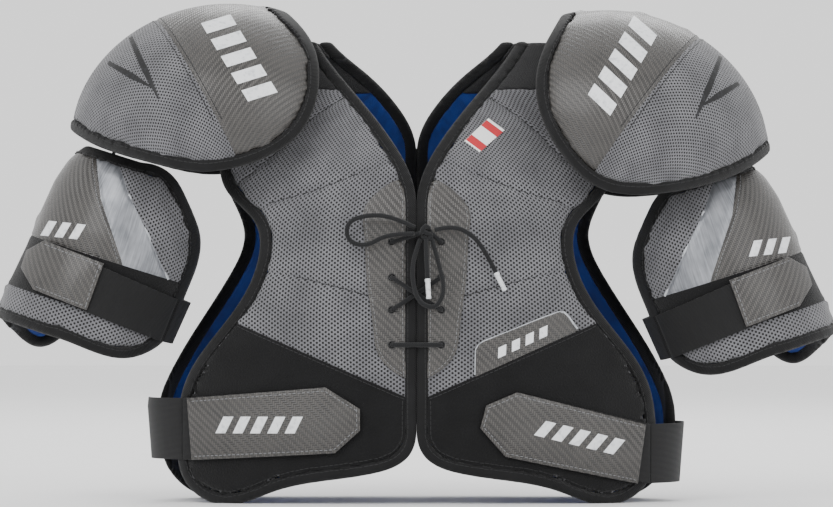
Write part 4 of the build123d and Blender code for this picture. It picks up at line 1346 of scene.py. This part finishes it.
for side, sign in SIDES.items():
    body = f"arm_{side}"
    cover = even_grid(loose_copy(f"arm_pad_{side}", f"arm_cover_{side}"), 3.5 * MM, 2, widen=2.5 * MM)

    def pattern_gap(points):
        """Metres from each point to the nearest sewn line of the guard's pattern."""
        local = arm_points(side, points)
        upper = local[:, 2] < BAND_TOP
        lines = [np.where(upper, np.abs(local[:, 0] - stripe_edge(line, local[:, 2])) * 0.8, 1.0)
                 for line in (STRIPE_INNER, STRIPE_OUTER)]
        return np.min(lines + [np.abs(local[:, 2] - BAND_TOP), np.abs(local[:, 2] - BAND_HEM)], axis=0)

    def outward_facing(piece):
        """How squarely each vertex faces out of the guard, from -1 to 1."""
        local = arm_points(side, coordinates(piece))
        normals = arm_points(side, coordinates(piece) + surface_normals(piece)) - local
        away = (local + (0.009, 0, 0)) * (1, 1, 0)
        away /= np.linalg.norm(away, axis=1, keepdims=True)
        return np.sum(away * normals, axis=1)

    down = arm_points(side, coordinates(cover))[:, 2]
    held = (outward_facing(cover) < 0.6) | (pattern_gap(coordinates(cover)) < 3.2 * MM)
    held |= (down > BAND_TOP) & (down < BAND_HEM)
    inflate(cover, held.astype(float), 5.0, 4 * MM)
    subdivide(cover)
    gap = pattern_gap(coordinates(cover))
    gap[outward_facing(cover) < 0.5] = 1.0
    groove(cover, gap, 2.4 * MM, 1.2 * MM)

    planes = []
    for down_line in (BAND_TOP, BAND_HEM):
        across, height = arm_world(side, 0, down_line)
        planes.append(((across, 0, height), (sign * math.sin(ARM_TILT), 0, -math.cos(ARM_TILT)),
                       lambda point: True))
    for line in (STRIPE_INNER, STRIPE_OUTER):
        for start, end in zip(line, line[1:]):
            first, last = Vector(arm_world(side, *start)), Vector(arm_world(side, *end))
            run = last - first
            planes.append(((first.x, 0, first.y), (-run.y, 0, run.x), lambda point, low=start[1], high=end[1]:
                           low - 2 * MM < arm_points(side, [point])[0][2] < high + 2 * MM))
    split_piece(cover, planes, lambda point: arm_panel(side, point))
    for cloth in (carbon, silver_film, grey_mesh, black_loop):
        cover.data.materials.append(cloth)
    lay_cloth(cover, arm_cloth(side))
    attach(cover, body)
    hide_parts(f"arm_pad_{side}")
    cover_surface = surface_of(cover)

    for face, back in (("front", False), ("back", True)):
        seams = []
        for line, shift in ((STRIPE_INNER, 0.0035), (STRIPE_OUTER, -0.0035)):
            moved = [(outwards + shift, down) for outwards, down in line]
            path = along_arm(side, moved, cover_surface, back)
            if len(path) > 2:
                seams += even_steps(path, 3.6 * MM)
        if seams:
            stitches(f"arm_stripe_{face}_stitching_{side}", seams, cover_surface, grey_thread, body, 2.4 * MM,
                     0.7 * MM)
        piping = along_arm(side, STRIPE_OUTER, cover_surface, back)
        if len(piping) > 3:
            tube_along(f"arm_stripe_{face}_piping_{side}", piping, 1.1 * MM, pale_piping, body)

    lining = even_grid(loose_copy(f"arm_liner_{side}", f"arm_lining_{side}"), 1.9 * MM, 2, widen=2 * MM)
    lay_cloth(lining, arm_cloth(side))
    lining.data.materials.append(blue_lining)
    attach(lining, body)
    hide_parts(f"arm_liner_{side}")
    edge = edge_binding(f"arm_binding_{side}", f"arm_edge_{side}", body, arm_cloth(side))
    rim = outer_edges(f"arm_pad_{side}", arm_outward(side))[0]
    stitches(f"arm_edge_stitching_{side}", sewn_edge(rim, -2.4 * MM), surface_of(edge), black_thread, body)

    strap_copy(f"arm_strap_anchor_{side}", f"arm_strap_fixed_elastic_{side}", body, black_elastic,
               arm_cloth(side))
    strap_copy(f"arm_strap_elastic_{side}", f"arm_strap_loose_elastic_{side}", f"arm_strap_{side}",
               black_elastic, arm_cloth(side), 0.3 * MM)
    tab = strap_copy(f"arm_strap_tab_{side}", f"arm_strap_vinyl_tab_{side}", f"arm_strap_{side}", carbon,
                     arm_cloth(side), 0.6 * MM)
    rim = outer_edges(f"arm_strap_tab_{side}", arm_outward(side))[0]
    stitches(f"arm_strap_tab_stitching_{side}", sewn_edge(rim, TAB_SEAM_INSET, STITCH_PITCH),
             surface_of(tab), grey_thread, f"arm_strap_{side}", 2.6 * MM, 0.8 * MM)
    strap_copy(f"arm_hanger_{side}", f"arm_hanger_webbing_{side}", f"hanger_{side}", black_elastic,
               arm_cloth(side), 0.4 * MM)
    lift = ARM_TOP[side][1] - ARM_TOP["right"][1]
    printed_bars(f"arm_bar_{side}", cover_surface, body, (sign * 0.281, 0.2275 + lift),
                 (sign * 0.319, 0.2315 + lift), 3, 13 * MM, 3 * MM)

# ---- Floor, light and camera ----
# A pale studio floor, three large soft lights and a camera level with the middle of the pads.

floor_mesh = bmesh.new()
bmesh.ops.create_grid(floor_mesh, x_segments=1, y_segments=1, size=6.0)
floor = new_piece("studio_floor", floor_mesh)
paint, tree, shader = new_material("pale_studio_floor", Roughness=0.7, Specular_IOR_Level=0.2)
place = add_node(tree, "TexCoord").outputs["Object"]
grain = add_node(tree, "TexNoise", {"Vector": place, "Scale": 3})
add_node(tree, "Mix", {0: grain, 6: "#f4f4f4", 7: "#f7f7f7"}, shader.inputs["Base Color"], data_type="RGBA")
floor.data.materials.append(paint)

STUDIO_BRIGHTNESS = 1.35
world = bpy.data.worlds.new("studio")
world.use_nodes = True
world.node_tree.nodes["Background"].inputs["Color"].default_value = (1, 1, 1, 1)
world.node_tree.nodes["Background"].inputs["Strength"].default_value = STUDIO_BRIGHTNESS
scene.world = world

for name, place, size, power in (("key", (-1.4, -2.2, 2.0), 1.6, 48), ("fill", (1.8, -2.0, 1.2), 1.8, 24),
                                 ("rim", (0.3, 2.2, 2.2), 1.6, 30)):
    lamp = bpy.data.lights.new(name, "AREA")
    lamp.size = size
    lamp.energy = power
    light = bpy.data.objects.new(name, lamp)
    light.location = place
    light.rotation_euler = (Vector((0, 0, 0.2)) - Vector(place)).to_track_quat("-Z", "Y").to_euler()
    scene.collection.objects.link(light)

CAMERA_DISTANCE = 5.0
FRAME_WIDTH = 0.708
FRAME_MIDDLE = 0.2095
lens = bpy.data.cameras.new("camera")
lens.lens = lens.sensor_width * CAMERA_DISTANCE / FRAME_WIDTH
camera = bpy.data.objects.new("camera", lens)
camera.location = (0, -CAMERA_DISTANCE, FRAME_MIDDLE)
camera.rotation_euler = (math.pi / 2, 0, 0)
scene.collection.objects.link(camera)
scene.camera = camera
